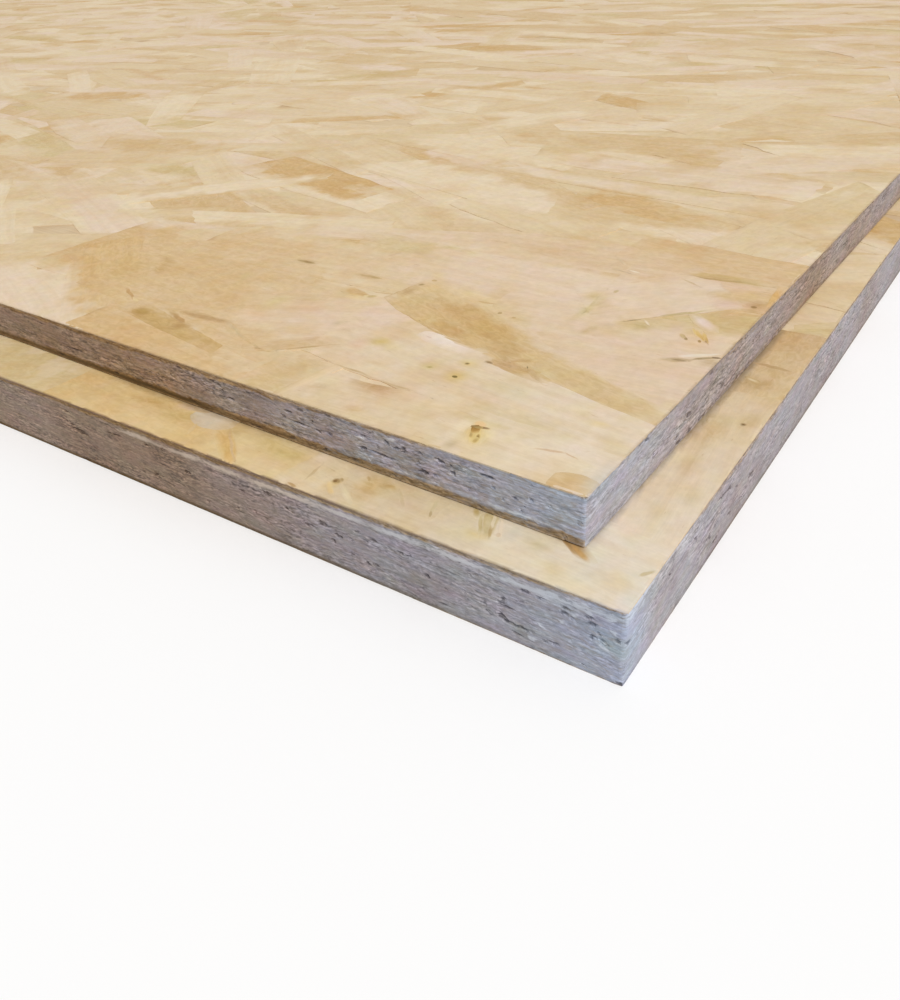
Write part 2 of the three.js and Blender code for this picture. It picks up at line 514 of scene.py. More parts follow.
LOWER_FRONT = Edge(
    bare_top=((0, 0.5), (15, 0.9), (24, 1.3), (60, 1.7), (215, 2.2), (300, 1.4)),
    bare_bottom=((0, 0.0), (150, 0.1), (230, 0.7)),
    warm_light=((0, -0.1), (35, 0.1), (60, 0.35), (100, 0.55), (150, 0.8), (215, 1.1), (420, 0.7)),
    speckle=((0, 0.8), (30, 0.5), (60, 0.35), (110, 0.5)),
    dirt_and_shade=((0, 0.0), (30, 0.02), (70, 0.1), (130, 0.16), (215, 0.2), (400, 0.05)),
    foot=((0, 0.10), (25, 0.18), (60, 0.44), (110, 0.66), (160, 0.68)),
    foot_start=-0.4,
    foot_height=1.9,
    brow=(
        (0, 0.02), (12, 0.08), (28, 0.36), (58, 0.36), (62, 0.1), (82, 0.12), (90, 0.14), (150, 0.14),
        (215, 0.22),
    ),
    rim=((0, 0.6), (50, 0.7), (90, 0.75), (105, 1.2), (150, 1.2), (170, 1.0)),
    gaps=spots(
        (0.6, 0.6, 3, 2), (2.4, 16.8, 4, 1.7, -20, 0.75), (5.6, 13.8, 1.6, 1.4, 0, 0.5),
        (7.1, 15, 1.8, 2.6, 0, 0.5), (8, 17, 2.6, 1.4, -40, 0.55), (10, 14.8, 2.4, 1.6, -20, 0.75),
        (10.6, 19.5, 4.8, 1.7, -5, 0.75), (11.3, 21.8, 3.2, 1.9, -25, 0.75), (13, 2.2, 2.4, 1.2, 0, 0.7),
        (18.4, 21.7, 3.6, 2, 10, 0.6), (19.6, 19.5, 2.4, 2.4, 60, 0.6), (16.5, 19, 2, 2, 0, 0.5),
        (23.5, 6, 6.4, 1.8, -4, 0.8), (34, 7, 13, 1.5, 2, 0.8), (38.8, 7.2, 3.2, 1.9),
        (40.6, 8.5, 3.8, 3, 15), (40.6, 13.6, 3, 2.4, 10, 0.7), (39.8, 15.8, 3, 1.9, 0, 0.7),
        (32.4, 22.2, 5, 1.5, 0, 0.8), (27, 22.2, 6, 1.2, 0, 0.5), (33, 18, 8, 1.5, -10, 0.4),
        (46.8, 10.8, 4.4, 2.4, 30, 0.6), (45.6, 8.3, 5, 2, 35, 0.7), (50.5, 20.5, 5, 1.2, -20, 0.5),
        (53, 12, 3.4, 1.4, 0, 0.5), (61, 10.4, 2.4, 1.6, -20, 0.6), (68, 12.6, 3.6, 1.8),
        (74.4, 18.3, 2.6, 1.5, -20), (78, 18.2, 4, 1.5, 0, 0.9), (70, 7, 4, 2.6, -20, 0.4),
        (77, 11.6, 9, 1.6, 5, 0.4), (90, 19, 7, 1.4, 5, 0.5), (93, 7.3, 4, 2.3, -5),
        (89.6, 8.3, 4, 1.6, -15, 0.7), (99.5, 9, 3, 2, -40, 0.5), (98.8, 15.2, 3.4, 1.4, -30, 0.5),
        (104.8, 14.3, 3.2, 2, -15), (107.4, 11.5, 3.2, 2.3, 0, 0.9), (111.4, 17.2, 5.4, 3, -5),
        (117.5, 14.2, 9, 1.7, 0, 0.8), (96, 19.7, 3, 1.2, -10, 0.6), (128, 17.5, 2.2, 1.5),
        (131.5, 21.8, 4, 1.5), (136, 21.5, 4, 1.2, 0, 0.7), (127.6, 8.4, 3.4, 1.6, 0, 0.6),
        (144.8, 10.5, 2, 1.5, -30, 0.8), (154.4, 8.2, 2.6, 1.2, -40, 0.7), (171, 5.8, 7, 1.5, -25, 0.5),
        (179.5, 16.2, 4.6, 1.6), (200.4, 8.5, 4, 2, -20), (192.6, 6.2, 4, 1.9, 0, 0.6),
        (192, 22.6, 3.4, 1.4, -15, 0.8), (205, 11.6, 8, 1.6, 0, 0.5), (182, 21.5, 4, 1.4, 0, 0.5),
    ),
    smears=spots(
        (30, 24.0, 44, 3.6), (56, 24.8, 34, 3.6, 1), (80, 24.9, 34, 3.4, -1), (102, 24.9, 36, 3.4),
        (124, 24.7, 38, 3.4), (138, 24.5, 26, 3.4), (158, 24.5, 32, 3.4), (178, 24.6, 34, 3.4, -1),
        (203, 24.7, 40, 3.5), (15, 24.6, 9, 4, 10), (5, 24.6, 8, 4, -10, 0.9), (11.5, 23.6, 6, 3, 30),
        (21, 24.1, 10, 2.6), (25, 25.0, 14, 2.4, -10), (10, 25, 24, 4, 0, 0.7), (7, 12.3, 6, 2.4, 20),
        (27, 11.2, 4, 2, 40), (15.6, 20.4, 3, 3), (3.4, 19.6, 3.4, 2.8), (19.8, 16.2, 1.6, 3),
        (30, 4.4, 4, 2.2, 20),
    ),
    gap_chance=0.006,
)
LOWER_NEAR_END = Edge(
    bare_top=((0, 0.0), (32, 0.0), (45, 0.6), (60, 1.9), (128, 2.3), (150, 1.5)),
    bare_bottom=((0, 0.0), (150, 0.2)),
    worn_top=(0.22, 0.63),
    worn_bottom=(0.1, 0.6),
    warm_light=((0, -0.1), (10, 0.1), (22, 0.42), (50, 0.45), (80, 0.4), (130, 0.5), (260, 0.6)),
    speckle=((0, 0.3),),
    dirt_and_shade=((0, -0.04), (15, -0.06), (45, -0.06), (65, 0.0), (110, 0.0), (260, 0.03)),
    sink=0.12,
    foot=((0, 0.04), (25, 0.1), (60, 0.34)),
    foot_start=-0.4,
    foot_height=2.4,
    brow=((0, 0.0), (60, 0.0), (80, 0.04), (95, 0.12), (150, 0.1)),
    rim=((0, 0.15),),
    gaps=spots(
        (75.5, 21.4, 17, 1.4, -9), (72, 22.2, 5, 1.8, -10), (81.5, 20.4, 6, 2.2, -20),
        (106, 11.6, 8, 2.8, -14), (51, 19.8, 4.6, 1.6, -30), (66, 9.6, 4.6, 2.2, -25),
        (2.2, 16, 6.6, 1.9, -25), (73, 4.6, 6, 1.6, -8), (31, 19.6, 4.4, 1.2, -25), (85, 7.4, 5, 1.2, -20),
        (98, 7, 6, 1.1, -15), (90, 16, 7, 1.1, -20), (104, 26.8, 30, 1.8, 0, 0.3),
    ),
    smears=spots(
        (8, 27.9, 44, 4.2), (34, 28.0, 44, 3.8), (6, 25, 36, 6, 0, 0.45), (34, 24, 52, 10, 0, 0.45),
    ),
    gap_chance=0.004,
)
UPPER_FRONT = Edge(
    bare_top=((0, 0.4), (50, 0.5), (65, 1.3), (112, 1.8), (125, 2.4), (215, 2.6), (420, 1.2)),
    bare_bottom=((0, 2.5), (20, 2.6), (60, 3.0), (130, 3.2), (165, 2.8), (215, 3.0), (400, 1.2)),
    thin=((0, 0.0), (120, 0.05), (170, 0.28), (215, 0.34), (300, 0.1)),
    warm_light=((0, 0.02), (40, 0.12), (60, 0.3), (90, 0.45), (150, 0.75), (215, 1.1), (420, 0.7)),
    speckle=((0, 0.8), (110, 0.7), (165, 0.3)),
    dirt_and_shade=((0, 0.03), (40, 0.04), (60, 0.01), (120, 0.0), (150, 0.02), (180, 0.06), (215, 0.06)),
    foot=((0, 0.2), (25, 0.28), (70, 0.36), (130, 0.56), (164, 0.66), (172, 0.94), (215, 0.94), (300, 0.6)),
    foot_start=0.4,
    foot_height=3.2,
    brow=((0, 0.0), (50, 0.0), (70, 0.0), (100, 0.08), (215, 0.1)),
    rim=((0, 0.1), (50, 0.12), (70, 0.2), (90, 0.28)),
    gaps=spots(
        (2, 8, 2.4, 1.6, 0, 0.5), (12, 10.2, 2.4, 1.6, -30, 0.6), (18.6, 10.8, 2.6, 2, -30, 0.7),
        (21, 7.5, 1.8, 1.4, 0, 0.6), (21.6, 5.3, 2.4, 1.5, 0, 0.7), (24.2, 9, 2, 1.8, -30, 0.6),
        (28.6, 7.3, 2.2, 2, 0, 0.7), (32, 10.6, 3, 1.5, 0, 0.6), (33.2, 13.5, 2.6, 1.5, -10, 0.8),
        (36.6, 15.6, 3, 1.3, 0, 0.7), (41.5, 6.2, 1.8, 1.6, 0, 0.6), (43.5, 14.4, 5, 1.3, 0, 0.5),
        (47.2, 10.6, 2.2, 2.2, 0), (47.4, 13.2, 2, 2, -40, 0.8), (52.6, 13.4, 4, 2, 5),
        (54.5, 7.3, 3.2, 1.4, -10, 0.9), (59, 7, 5.4, 2, -5), (60.5, 13.8, 2.2, 1.8, 0, 0.7),
        (61.2, 10, 1.8, 2, 0, 0.6), (66.8, 12.8, 3.2, 2.2, -10), (70.4, 12.5, 3.8, 1.7),
        (73.8, 13.4, 3.4, 1.8, 20, 0.9), (78.3, 10.5, 2.2, 1.3, 0, 0.7), (76.3, 7.2, 3.4, 1.6, 0, 0.6),
        (69.8, 6, 3, 2, 0, 0.4), (84.8, 8.1, 3.4, 1.8, -18), (85, 13, 3.2, 1.3, 0, 0.7),
        (81, 15, 5, 1.3, -15, 0.5), (100.4, 8.9, 2.2, 1.4, 0, 0.8), (105.8, 8.6, 2.8, 1.5, -15, 0.9),
        (108, 11.6, 3.2, 1.4, -20), (107, 13.6, 2.8, 1.2, 0, 0.8), (99.8, 12.4, 4.6, 1.6, -8, 0.6),
        (113, 11, 3, 1.4, -20, 0.6), (120.4, 12, 2, 1.4, -30, 0.7), (122.4, 10, 3, 1.4, 0, 0.6),
        (118.4, 5.7, 2.6, 1.2, -10, 0.6), (138.4, 6, 3, 1.4, -20, 0.6), (143.6, 12, 2.6, 1.4, -20, 0.5),
        (150.6, 9.4, 4, 1.3, -20, 0.6), (154, 12, 2.6, 1.7, -25, 0.7), (153, 14.8, 3, 1.5, 0, 0.6),
        (157, 13.8, 3, 1.3, -15, 0.6), (160.6, 11.6, 2.6, 1.4, -20, 0.6), (161, 9.7, 3, 1.4, -20, 0.6),
        (165, 9.6, 2, 1.6, -30, 0.4), (171, 12.5, 3.6, 1.4, -5, 0.6), (180.5, 11.3, 3, 1.5, -10, 0.6),
        (184.5, 11.5, 2.6, 1.5, 0, 0.6), (183.5, 9.6, 3, 1.3, 0, 0.5), (179, 6.8, 4.4, 2, 0, 0.6),
        (193.6, 9.2, 3, 1.5, 0, 0.5), (211, 11.6, 4, 1.6, -15, 0.6), (199, 4.6, 4, 1.5, -15, 0.4),
        (6.6, 1.2, 1.4, 3, 0, 0.8), (38, 1, 2.4, 1.8, 0, 0.6), (66.5, 1.2, 3, 1.4, 0, 0.5),
        (74, 1, 5, 1.4, 0, 0.5), (91, 1.4, 7, 1.7, 0, 0.6), (104, 1.1, 5, 1.6, -8, 0.9),
        (111, 0.9, 7, 1.4, 0, 0.6), (120, 1.4, 6, 1.8, 0, 0.6), (143, 0.9, 5, 1.3, 0, 0.5),
        (175, 1.5, 14, 2.4, 0, 0.4), (202, 1.6, 22, 2, 0, 0.3), (38, 15.8, 24, 2.6, 0, 0.3),
        (184, 15.8, 52, 2.2, 0, 0.3),
    ),
    smears=spots(
        (32, 3.2, 46, 2.4, -1), (68, 3.4, 34, 2.2, 0, 0.9), (104, 3.6, 40, 1.8, 0, 0.6),
        (89, 3.2, 9, 1.2, -12), (83, 3.4, 4, 1.6, 40), (103, 2.1, 6, 1.4, -12), (99.5, 1.4, 4, 1.2, -5),
        (43, 13.2, 4, 1.4, -10), (48.6, 9.6, 2.4, 1.4), (105, 13.4, 5, 1.0, -20), (113, 14.6, 5, 1.0, -15),
        (86, 12, 12, 1.2, -10), (72, 15.4, 10, 1.2, -12), (149, 4.8, 5, 1.6, -25), (143, 6.6, 7, 1.6, -10),
        (148, 8.6, 8, 1.2, -15), (162, 8.4, 6, 1.6, -20), (165, 5.6, 6, 1.4, -20), (174, 3.4, 5, 1.2, -20),
        (157, 12.6, 8, 1.2, -12), (152, 6.6, 7, 1.4, -20),
    ),
    gap_chance=0.008,
)
UPPER_NEAR_END = Edge(
    bare_top=(
        (0, 0.0), (12, 0.3), (28, 1.2), (38, 1.7), (60, 1.7), (82, 1.9), (92, 2.5), (118, 2.6), (150, 3.0),
        (250, 1.4),
    ),
    bare_bottom=((0, 0.3), (40, 0.4), (66, 1.0), (80, 1.0), (112, 1.4), (120, 2.0), (150, 2.0), (250, 1.4)),
    worn_top=(0.1, 0.4),
    worn_bottom=(0.1, 0.4),
    warm_light=((0, 0.22), (25, 0.36), (60, 0.4), (105, 0.52), (122, 0.72), (165, 0.75), (300, 0.7)),
    speckle=((0, 0.28),),
    dirt_and_shade=((0, 0.0), (20, 0.0), (28, 0.03), (60, 0.03), (80, 0.03), (95, 0.06), (115, 0.08), (124, 0.15)),
    foot=((0, 0.04), (30, 0.08), (60, 0.24), (120, 0.2)),
    foot_start=-0.4,
    foot_height=1.4,
    brow=((0, 0.03), (18, 0.08), (30, 0.34), (60, 0.34), (120, 0.3), (150, 0.16)),
    rim=((0, 0.35), (60, 0.36)),
    gaps=spots(
        (21.5, 16.9, 4.4, 1.8, -8, 0.6), (27, 16.8, 2.8, 1.6, 0, 0.6), (35.5, 16.9, 4, 1.3, 0, 0.6),
        (39.2, 16.4, 3.2, 2.2, -30, 0.9), (46, 16.6, 3, 1.4, 0, 0.5), (56, 17.2, 6, 1.4, 0, 0.6),
        (46, 7.4, 4.2, 1.7, -15), (41.8, 8, 4, 1.3, -10, 0.5), (73.8, 8, 5, 2.1, -12),
        (70.5, 7.2, 3, 1.5, -30, 0.7), (64.5, 4, 3, 1.3, 0, 0.6), (66.8, 0.9, 8.4, 1.9),
        (76.8, 0.9, 5.4, 2), (86.5, 0.6, 9, 1.2, 0, 0.7), (96, 0.8, 5, 1.4, 0, 0.6),
        (113, 0.9, 10, 1.6, 0, 0.6), (101.5, 5.6, 3, 1.3, -20, 0.6), (92, 16, 5.4, 2.2, -10, 0.7),
        (107, 15.8, 4, 1.6, -20, 0.6), (113.5, 15, 5.4, 2.2, -20, 0.7), (72, 11.6, 3.4, 1.2, -25, 0.5),
        (147, 14.8, 4.6, 1.0, -8), (121, 13.8, 2.4, 1.0), (106, 16, 26, 2, 0, 0.3),
        (136, 14.6, 30, 2, 0, 0.28),
    ),
    gap_chance=0.006,
)
PLAIN_EDGE = Edge()
EDGES = {
    LOWER: {FRONT: LOWER_FRONT, NEAR_END: LOWER_NEAR_END},
    UPPER: {FRONT: UPPER_FRONT, NEAR_END: UPPER_NEAR_END},
}


def chance(*keys):
    """A number from 0 to 1 that is always the same for the same whole-number keys."""
    return (noise.cell(Vector([key + 0.5 for key in keys])) + 1) / 2


def waver(x, y, z):
    """Smooth noise around 0, always the same at the same place."""
    return noise.noise(Vector((x, y, z)))


def edge_wave(size, side, run, height):
    """Smooth noise over an edge, in waves of the given size."""
    length, rise, apart = size
    return waver(run / length, side * apart, height / rise)


def strand_ends(key, run, height, gap_chance):
    """How deep a sawn edge is at a place, in millimetres, and how open it is there, from 0 to 1."""
    sway = 1.3 * edge_wave(LONG_SWAY, key, run, height) + 0.5 * edge_wave(SHORT_SWAY, key, run, height)
    level = (height + sway) / LAYER
    row = math.floor(level)
    length = SHORTEST_END + LONGER_ENDS * chance(row, key, 3) ** 1.5
    step = run / length + 7 * chance(row, key, 5)
    strand = math.floor(step)
    across_layer = abs(2 * (level - row) - 1)
    depth = JUT * chance(row, key * 37 + strand, 11) ** 2 + GROOVE * across_layer ** 3
    depth += GRAIN * edge_wave(GRAIN_WAVE, key, run, height)
    depth += SWELL * edge_wave(SWELL_WAVE, key, run, height)
    opening = 0.0
    if chance(row, key * 53 + strand, 29) < gap_chance:
        along_strand = abs(2 * (step - strand) - 1)
        opening = max(0.0, 1 - along_strand ** 2 - 0.8 * across_layer ** 2)
    return depth, opening


def along_run(count, length, fine_reach):
    """Places along an edge: finely spaced up to fine_reach, then coarser to its end."""
    fine = round(fine_reach / FINE_STEP)
    rest = count - fine
    gap = length - FINE_STEP * fine
    growth = [(i / rest) ** 1.4 for i in range(rest + 1)]
    return [FINE_STEP * i for i in range(fine)] + [FINE_STEP * fine + gap * g for g in growth]


def side_of(edge):
    """The side of the sheet that an edge of its outline is."""
    middle = (edge.verts[0].co + edge.verts[1].co) / 2
    if abs(middle.y) > abs(middle.x):
        return FRONT if middle.y < 0 else BACK
    return NEAR_END if middle.x > 0 else FAR_END


def core_mesh(sheet, key):
    """A sheet's core: its outline drawn as a ring, drawn up in rows, closed, and its edges worn in."""
    counts = {
        FRONT: round(FINE_FRONT / FINE_STEP) + round((SHEET_LENGTH - FINE_FRONT) / COARSE_STEP),
        NEAR_END: round(FINE_END / FINE_STEP) + round((SHEET_WIDTH - FINE_END) / COARSE_STEP),
        BACK: round(SHEET_LENGTH / FAR_STEP),
        FAR_END: round(SHEET_WIDTH / FAR_STEP),
    }
    front_places = along_run(counts[FRONT], SHEET_LENGTH, FINE_FRONT)
    end_places = along_run(counts[NEAR_END], SHEET_WIDTH, FINE_END)

    bm = bmesh.new()
    bmesh.ops.create_grid(bm, x_segments=1, y_segments=1, size=0.5)
    bmesh.ops.delete(bm, geom=bm.faces[:], context="FACES_ONLY")
    for edge in bm.edges[:]:
        bmesh.ops.subdivide_edges(bm, edges=[edge], cuts=counts[side_of(edge)] - 1)
    for vert in bm.verts:
        from_end, from_front = 0.5 - vert.co.x, vert.co.y + 0.5  # from 0 to 1
        along, across = from_end * SHEET_LENGTH, from_front * SHEET_WIDTH
        if vert.co.y < -0.4999:
            along = front_places[round(from_end * counts[FRONT])]
        elif vert.co.x > 0.4999:
            across = end_places[round(from_front * counts[NEAR_END])]
        vert.co = (-along, across, 0.0)

    outline = top = bm.edges[:]
    rise = sheet.thickness - FACE_DEPTH
    rows = round(rise / CORE_ROW)
    for row in range(rows):
        top, raised = drawn(bm, top, (0, 0, rise / rows))
    wear_edges(bm, sheet, key)
    lip, inner = drawn(bm, outline, (0, 0, 0))
    for vert in inner:
        vert.co.x = max(LIP - SHEET_LENGTH, min(-LIP, vert.co.x))
        vert.co.y = max(LIP, min(SHEET_WIDTH - LIP, vert.co.y))
    lip, inner = drawn(bm, lip, (0, 0, RANDOM_DEPTH))
    for loop in (lip, top):
        for cap in bmesh.ops.contextual_create(bm, geom=loop)["faces"]:
            cap.material_index = 1
    bmesh.ops.recalc_face_normals(bm, faces=bm.faces[:])
    return bm


def drawn(bm, edges, move):
    """A ring of edges drawn out into faces: the ring at the end, and its corners."""
    made = bmesh.ops.extrude_edge_only(bm, edges=edges)["geom"]
    corners = {item for item in made if isinstance(item, bmesh.types.BMVert)}
    bmesh.ops.translate(bm, verts=list(corners), vec=move)
    ring = [
        item for item in made
        if isinstance(item, bmesh.types.BMEdge) and item.verts[0] in corners and item.verts[1] in corners
    ]
    return ring, corners


def sides_at(along, across):
    """The sides that a place is on, each with how far along it the place is, in millimetres."""
    return [
        (side, run) for side, run, inwards in (
            (FRONT, along, across),
            (NEAR_END, across, along),
            (BACK, along, SHEET_WIDTH / MM - across),
            (FAR_END, across, SHEET_LENGTH / MM - along),
        ) if inwards < ON_SIDE
    ]


def worn_at(edge, side, key, run, height, thickness):
    """How an edge is worn at a place: how deep, open, covered, smeared and patchy it is, and how warm the
    light painted on it is.
    """
    gap_chance = edge.gap_chance if run < HAND_WORN else FAR_GAP_CHANCE
    depth, opening = strand_ends(key + side, run, height, gap_chance)
    tear, pull = edge_wave(TEAR, side, run, height), edge_wave(PULL, side, run, height)
    for gap in edge.gaps:
        opening = max(opening, gap.strength(run + GAP_PULL * pull, height + GAP_TEAR * tear, 0.6))
    smeared = 0.0
    for smear in edge.smears:
        smeared = max(smeared, smear.strength(run + SMEAR_PULL * pull, height + SMEAR_TEAR * tear, 0.8))
    depth = SET_BACK + depth * (1 - 0.6 * smeared) - SMEAR_HEIGHT * smeared + GAP_DEPTH * opening

    patchy = waver(run / 11, side * 3.3, key) + 0.5 * waver(run / 2.4, side, key)
    warm_light = along_points(edge.warm_light, run)
    bared = 0.0
    for to_arris, width, (least, warmer) in (
        (thickness - height, along_points(edge.bare_top, run), edge.worn_top),
        (height, along_points(edge.bare_bottom, run), edge.worn_bottom),
    ):
        rubbed = (width * (1 + 0.5 * patchy) - to_arris) / BARE_FADE + 0.6
        bared = max(bared, min(least + warmer * warm_light, rubbed))
        depth += ARRIS_DEPTH * max(0.0, 1 - to_arris / ARRIS_WIDTH) ** 2 * (0.7 + patchy)
    if side == NEAR_END:
        depth *= END_SMOOTHNESS
    depth *= min(1.0, 0.35 + height / 2)  # so that the sheet stands on a straight line
    cover = min(1.0, 1 - bared, 1 - along_points(edge.thin, run))
    return depth, opening, cover, smeared, warm_light + 0.25 * waver(run / 60, side * 5.7, key), patchy


def rounded_off(run, height):
    """How far the rounded near corner pulls a place along its side, and how far in, in millimetres."""
    radius = CORNER_RADIUS * (0.5 + 0.5 * min(1.0, height / 5))
    if run >= radius:
        return 0.0, 0.0
    turn = math.radians(45) * (1 - run / radius)
    return radius * (1 - math.sin(turn)) - run, radius * (1 - math.cos(turn))


def dirt_and_shade_at(edge, run, height, thickness, patchy):
    """How much darker an edge is made at a place, by dirt and painted shade."""
    low = clamped(min(2 * (1 - height / edge.foot_height), 0.6 + height - edge.foot_start))
    high = clamped(1.7 - thickness + height) * max(0.0, 1 + 0.9 * patchy)
    sunk = edge.sink * (1 - height / thickness) + low * along_points(edge.foot, run)
    return along_points(edge.dirt_and_shade, run) + (sunk + high * along_points(edge.brow, run))


def wear_edges(bm, sheet, key):
    """Wears strand ends and gaps into the four edges of a core, and marks where its sealer lies, how warm the
    light painted on it is, and how much darker dirt and painted shade make it.
    """
    hollow, coat, warm_light_layer, dirt_and_shade, speckle = [
        bm.verts.layers.float.new(name) for name in ("hollow", "coat", "warm_light", "dirt_and_shade", "speckle")
    ]
    thickness = sheet.thickness / MM
    for vert in bm.verts:
        height = vert.co.z / MM
        sides = sides_at(-vert.co.x / MM, vert.co.y / MM)
        vert[coat] = vert[warm_light_layer] = 1.0
        for side, run in sides:
            edge = EDGES[sheet].get(side, PLAIN_EDGE)
            depth, opening, cover, smeared, warm_light, patchy = worn_at(edge, side, key, run, height, thickness)
            if side in (FRONT, NEAR_END):
                shift, deeper = rounded_off(run, height)
                vert.co += INWARD[NEAR_END if side == FRONT else FRONT] * shift * MM / len(sides)
                depth += deeper
            vert.co += INWARD[side] * max(0.0, depth) * MM / len(sides)
            vert[hollow] = max(vert[hollow], opening)
            vert[coat] = min(vert[coat], cover) + 0.5 * smeared
            vert[warm_light_layer] = min(vert[warm_light_layer], warm_light)
            vert[dirt_and_shade] = dirt_and_shade_at(edge, run, height, thickness, patchy)
            vert[speckle] = along_points(edge.speckle, run)


def in_scene(name, content):
    """An object of the scene."""
    made = bpy.data.objects.new(name, content)
    bpy.context.scene.collection.objects.link(made)
    return made


def shape_in_scene(bm, name, materials):
    """A shape as an object of the scene."""
    mesh = bpy.data.meshes.new(name)
    bm.to_mesh(mesh)
    bm.free()
    for each in materials:
        mesh.materials.append(each)
    return in_scene(name, mesh)


def finished(bm, name, sheet, materials):
    """The shape set in its place on the stack, as a piece."""
    bmesh.ops.transform(bm, matrix=sheet.place, verts=bm.verts[:])
    piece = shape_in_scene(bm, name, materials)
    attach(piece, "root")
    return piece


# --- face strands


class Strand:
    """One wood strand on a face: its middle, its size and how it is turned, in millimetres and degrees.

    As it turns, its far end swings towards the back. Its colour runs from its far end to its near end, and
    so does its taper. The cuts slant its ends, bow bends it and point draws its ends in. The fades say how
    far its colour melts into the face at its far end, near end, front side and back side. Its sides sway,
    and the marks laid over the face, its stains and painted contact shade, show on it unless it is told
    otherwise.
    """

    def __init__(
        self, along, across, length, width, turn, colour, near_colour, fades,
        taper=1.0, cuts=(0, 0), bow=0.0, point=0.0, ragged=1.6, sway=None, stained=True,
    ):
        self.along, self.across = along * MM, across * MM
        self.length, self.width = length * MM, width * MM
        self.turn = math.radians(turn)
        self.colours = (colour, near_colour)
        self.fades = fades
        self.taper = taper
        self.slants = [math.tan(math.radians(cut)) for cut in cuts]
        self.bow = bow * MM
        self.point = point
        self.ragged = ragged * MM
        self.sway = 0.05 * self.width if sway is None else sway * MM
        self.stained = stained
        self.step = 0
        self.lift = 0.0

    def height(self):
        """How high the strand's top lies over the core."""
        laid = max(0, self.step - RANDOM_STEPS + 1)
        return (self.step - laid + 1 + self.lift) * STRAND_STEP + laid * LAID_STEP

    def matrix(self):
        """From the strand's own frame to the sheet's."""
        return Matrix.Translation((-self.along, self.across, 0)) @ Matrix.Rotation(-self.turn, 4, "Z")

    def half_width(self, u):
        """Half the strand's width at a place along it, from -1 to 1."""
        tapered = 1 - (1 - self.taper) * (u + 1) / 2
        return self.width / 2 * tapered * math.sqrt(max(1e-4, 1 - self.point * u * u))

    def place_of(self, spot):
        """A spot on the sheet, as a place along and across the strand from -1 to 1, or nothing beside it."""
        x, y = spot.x + self.along, spot.y - self.across
        cosine, sine = math.cos(self.turn), math.sin(self.turn)
        x, y = x * cosine - y * sine, x * sine + y * cosine
        if abs(x) > self.length or abs(y) > self.width:
            return None
        u = 2 * x / self.length
        u -= 2 * self.slants[u > 0] * y * abs(u) ** 3 / self.length
        if abs(u) > 1:
            return None
        v = (y - self.bow * (1 - u * u)) / self.half_width(u)
        return None if abs(v) > 1 else (u, v)

    def colour_at(self, u):
        """Its colour at a place along it, from -1 to 1."""
        return between(*self.colours, (u + 1) / 2)

    def over(self, tone, spot):
        """The face's tone at a spot, once the strand is laid on it."""
        place = self.place_of(spot)
        if place is None:
            return tone
        share = (melted(*faded(*place, self.fades)) - MELT_START) / (1 - MELT_START)
        return between(self.colour_at(place[0]), tone, max(0.0, share) ** 1.5)

    def squares(self, size=SQUARE):
        """The squares of the face that the strand covers."""
        matrix = self.matrix()
        along = math.ceil(2 * self.length / size) + 1
        across = math.ceil(2 * self.width / size) + 1
        found = set()
        for i in range(along):
            for j in range(across):
                x, y = self.length * (i / (along - 1) - 0.5), self.width * (j / (across - 1) - 0.5)
                found.add(square(matrix @ Vector((x, y, 0)), size))
        return found


def square(spot, size=SQUARE):
    """The square of a face that a spot is in."""
    return math.floor(spot.x / size), math.floor(spot.y / size)


def faded(u, v, fades):
    """How far a place on a strand is towards its faded borders, along it and across it."""
    far, near, front, back = fades
    return u * (far if u < 0 else near), v * (front if v < 0 else back)


def melted(along, across):
    """How far out a place is between a strand's middle and its faded borders, from 0 to 1."""
    along, across = min(1.0, along * along), min(1.0, across * across)
    return math.sqrt(1 - (1 - along) * (1 - across))


# Random strands are scattered in courses, in millimetres and degrees.
COURSES = 2
PITCH_ALONG, PITCH_ACROSS = 118, 24  # from one strand of a course to the next
SHIFT_ALONG, SHIFT_ACROSS = 0.37, 0.5  # how far the next course is shifted, in pitches
STRAY_ALONG, STRAY_ACROSS = 0.3, 0.35  # how far a strand strays from its place, in pitches
LENGTHS, WIDTHS = (95, 178), (16, 58, 28)  # least and most, and the most common width
WELL_LAID = 0.85  # the share of them that lie about along the sheet
TURN_SPREAD, WILD_TURN = 20, 75  # how far these turn, and the others


def random_strands(rng, keep):
    """Strands scattered over a whole face in courses, lying mostly along it."""
    strands = []
    for course in range(COURSES):
        for i in range(-1, math.ceil(SHEET_LENGTH / MM / PITCH_ALONG) + 1):
            for j in range(-1, math.ceil(SHEET_WIDTH / MM / PITCH_ACROSS) + 1):
                along = i + 0.5 * (j % 2) + course * SHIFT_ALONG + rng.uniform(-STRAY_ALONG, STRAY_ALONG)
                across = j + course * SHIFT_ACROSS + rng.uniform(-STRAY_ACROSS, STRAY_ACROSS)
                well_laid = rng.random() < WELL_LAID
                turn = rng.gauss(0, TURN_SPREAD) if well_laid else rng.uniform(-WILD_TURN, WILD_TURN)
                tone = rng.choice(FACE_TONES)
                size = rng.uniform(*LENGTHS), rng.triangular(*WIDTHS)
                far_colour = between(tone, rng.choice(FACE_TONES), rng.uniform(0, 0.4))
                near_colour = between(tone, rng.choice(FACE_TONES), rng.uniform(0, 0.5))
                shape = {
                    "taper": rng.uniform(0.65, 1.0),
                    "cuts": (rng.uniform(-40, 40), rng.uniform(-40, 40)),
                    "bow": rng.uniform(-2.5, 2.5),
                    "point": rng.uniform(0, 0.35),
                    "fades": [rng.uniform(0.2, 1.25) for border in range(4)],
                }
                place = along * PITCH_ALONG, across * PITCH_ACROSS
                strand = Strand(*place, *size, turn, far_colour, near_colour, **shape)
                if keep(strand):
                    strands.append(strand)
    rng.shuffle(strands)
    return strands


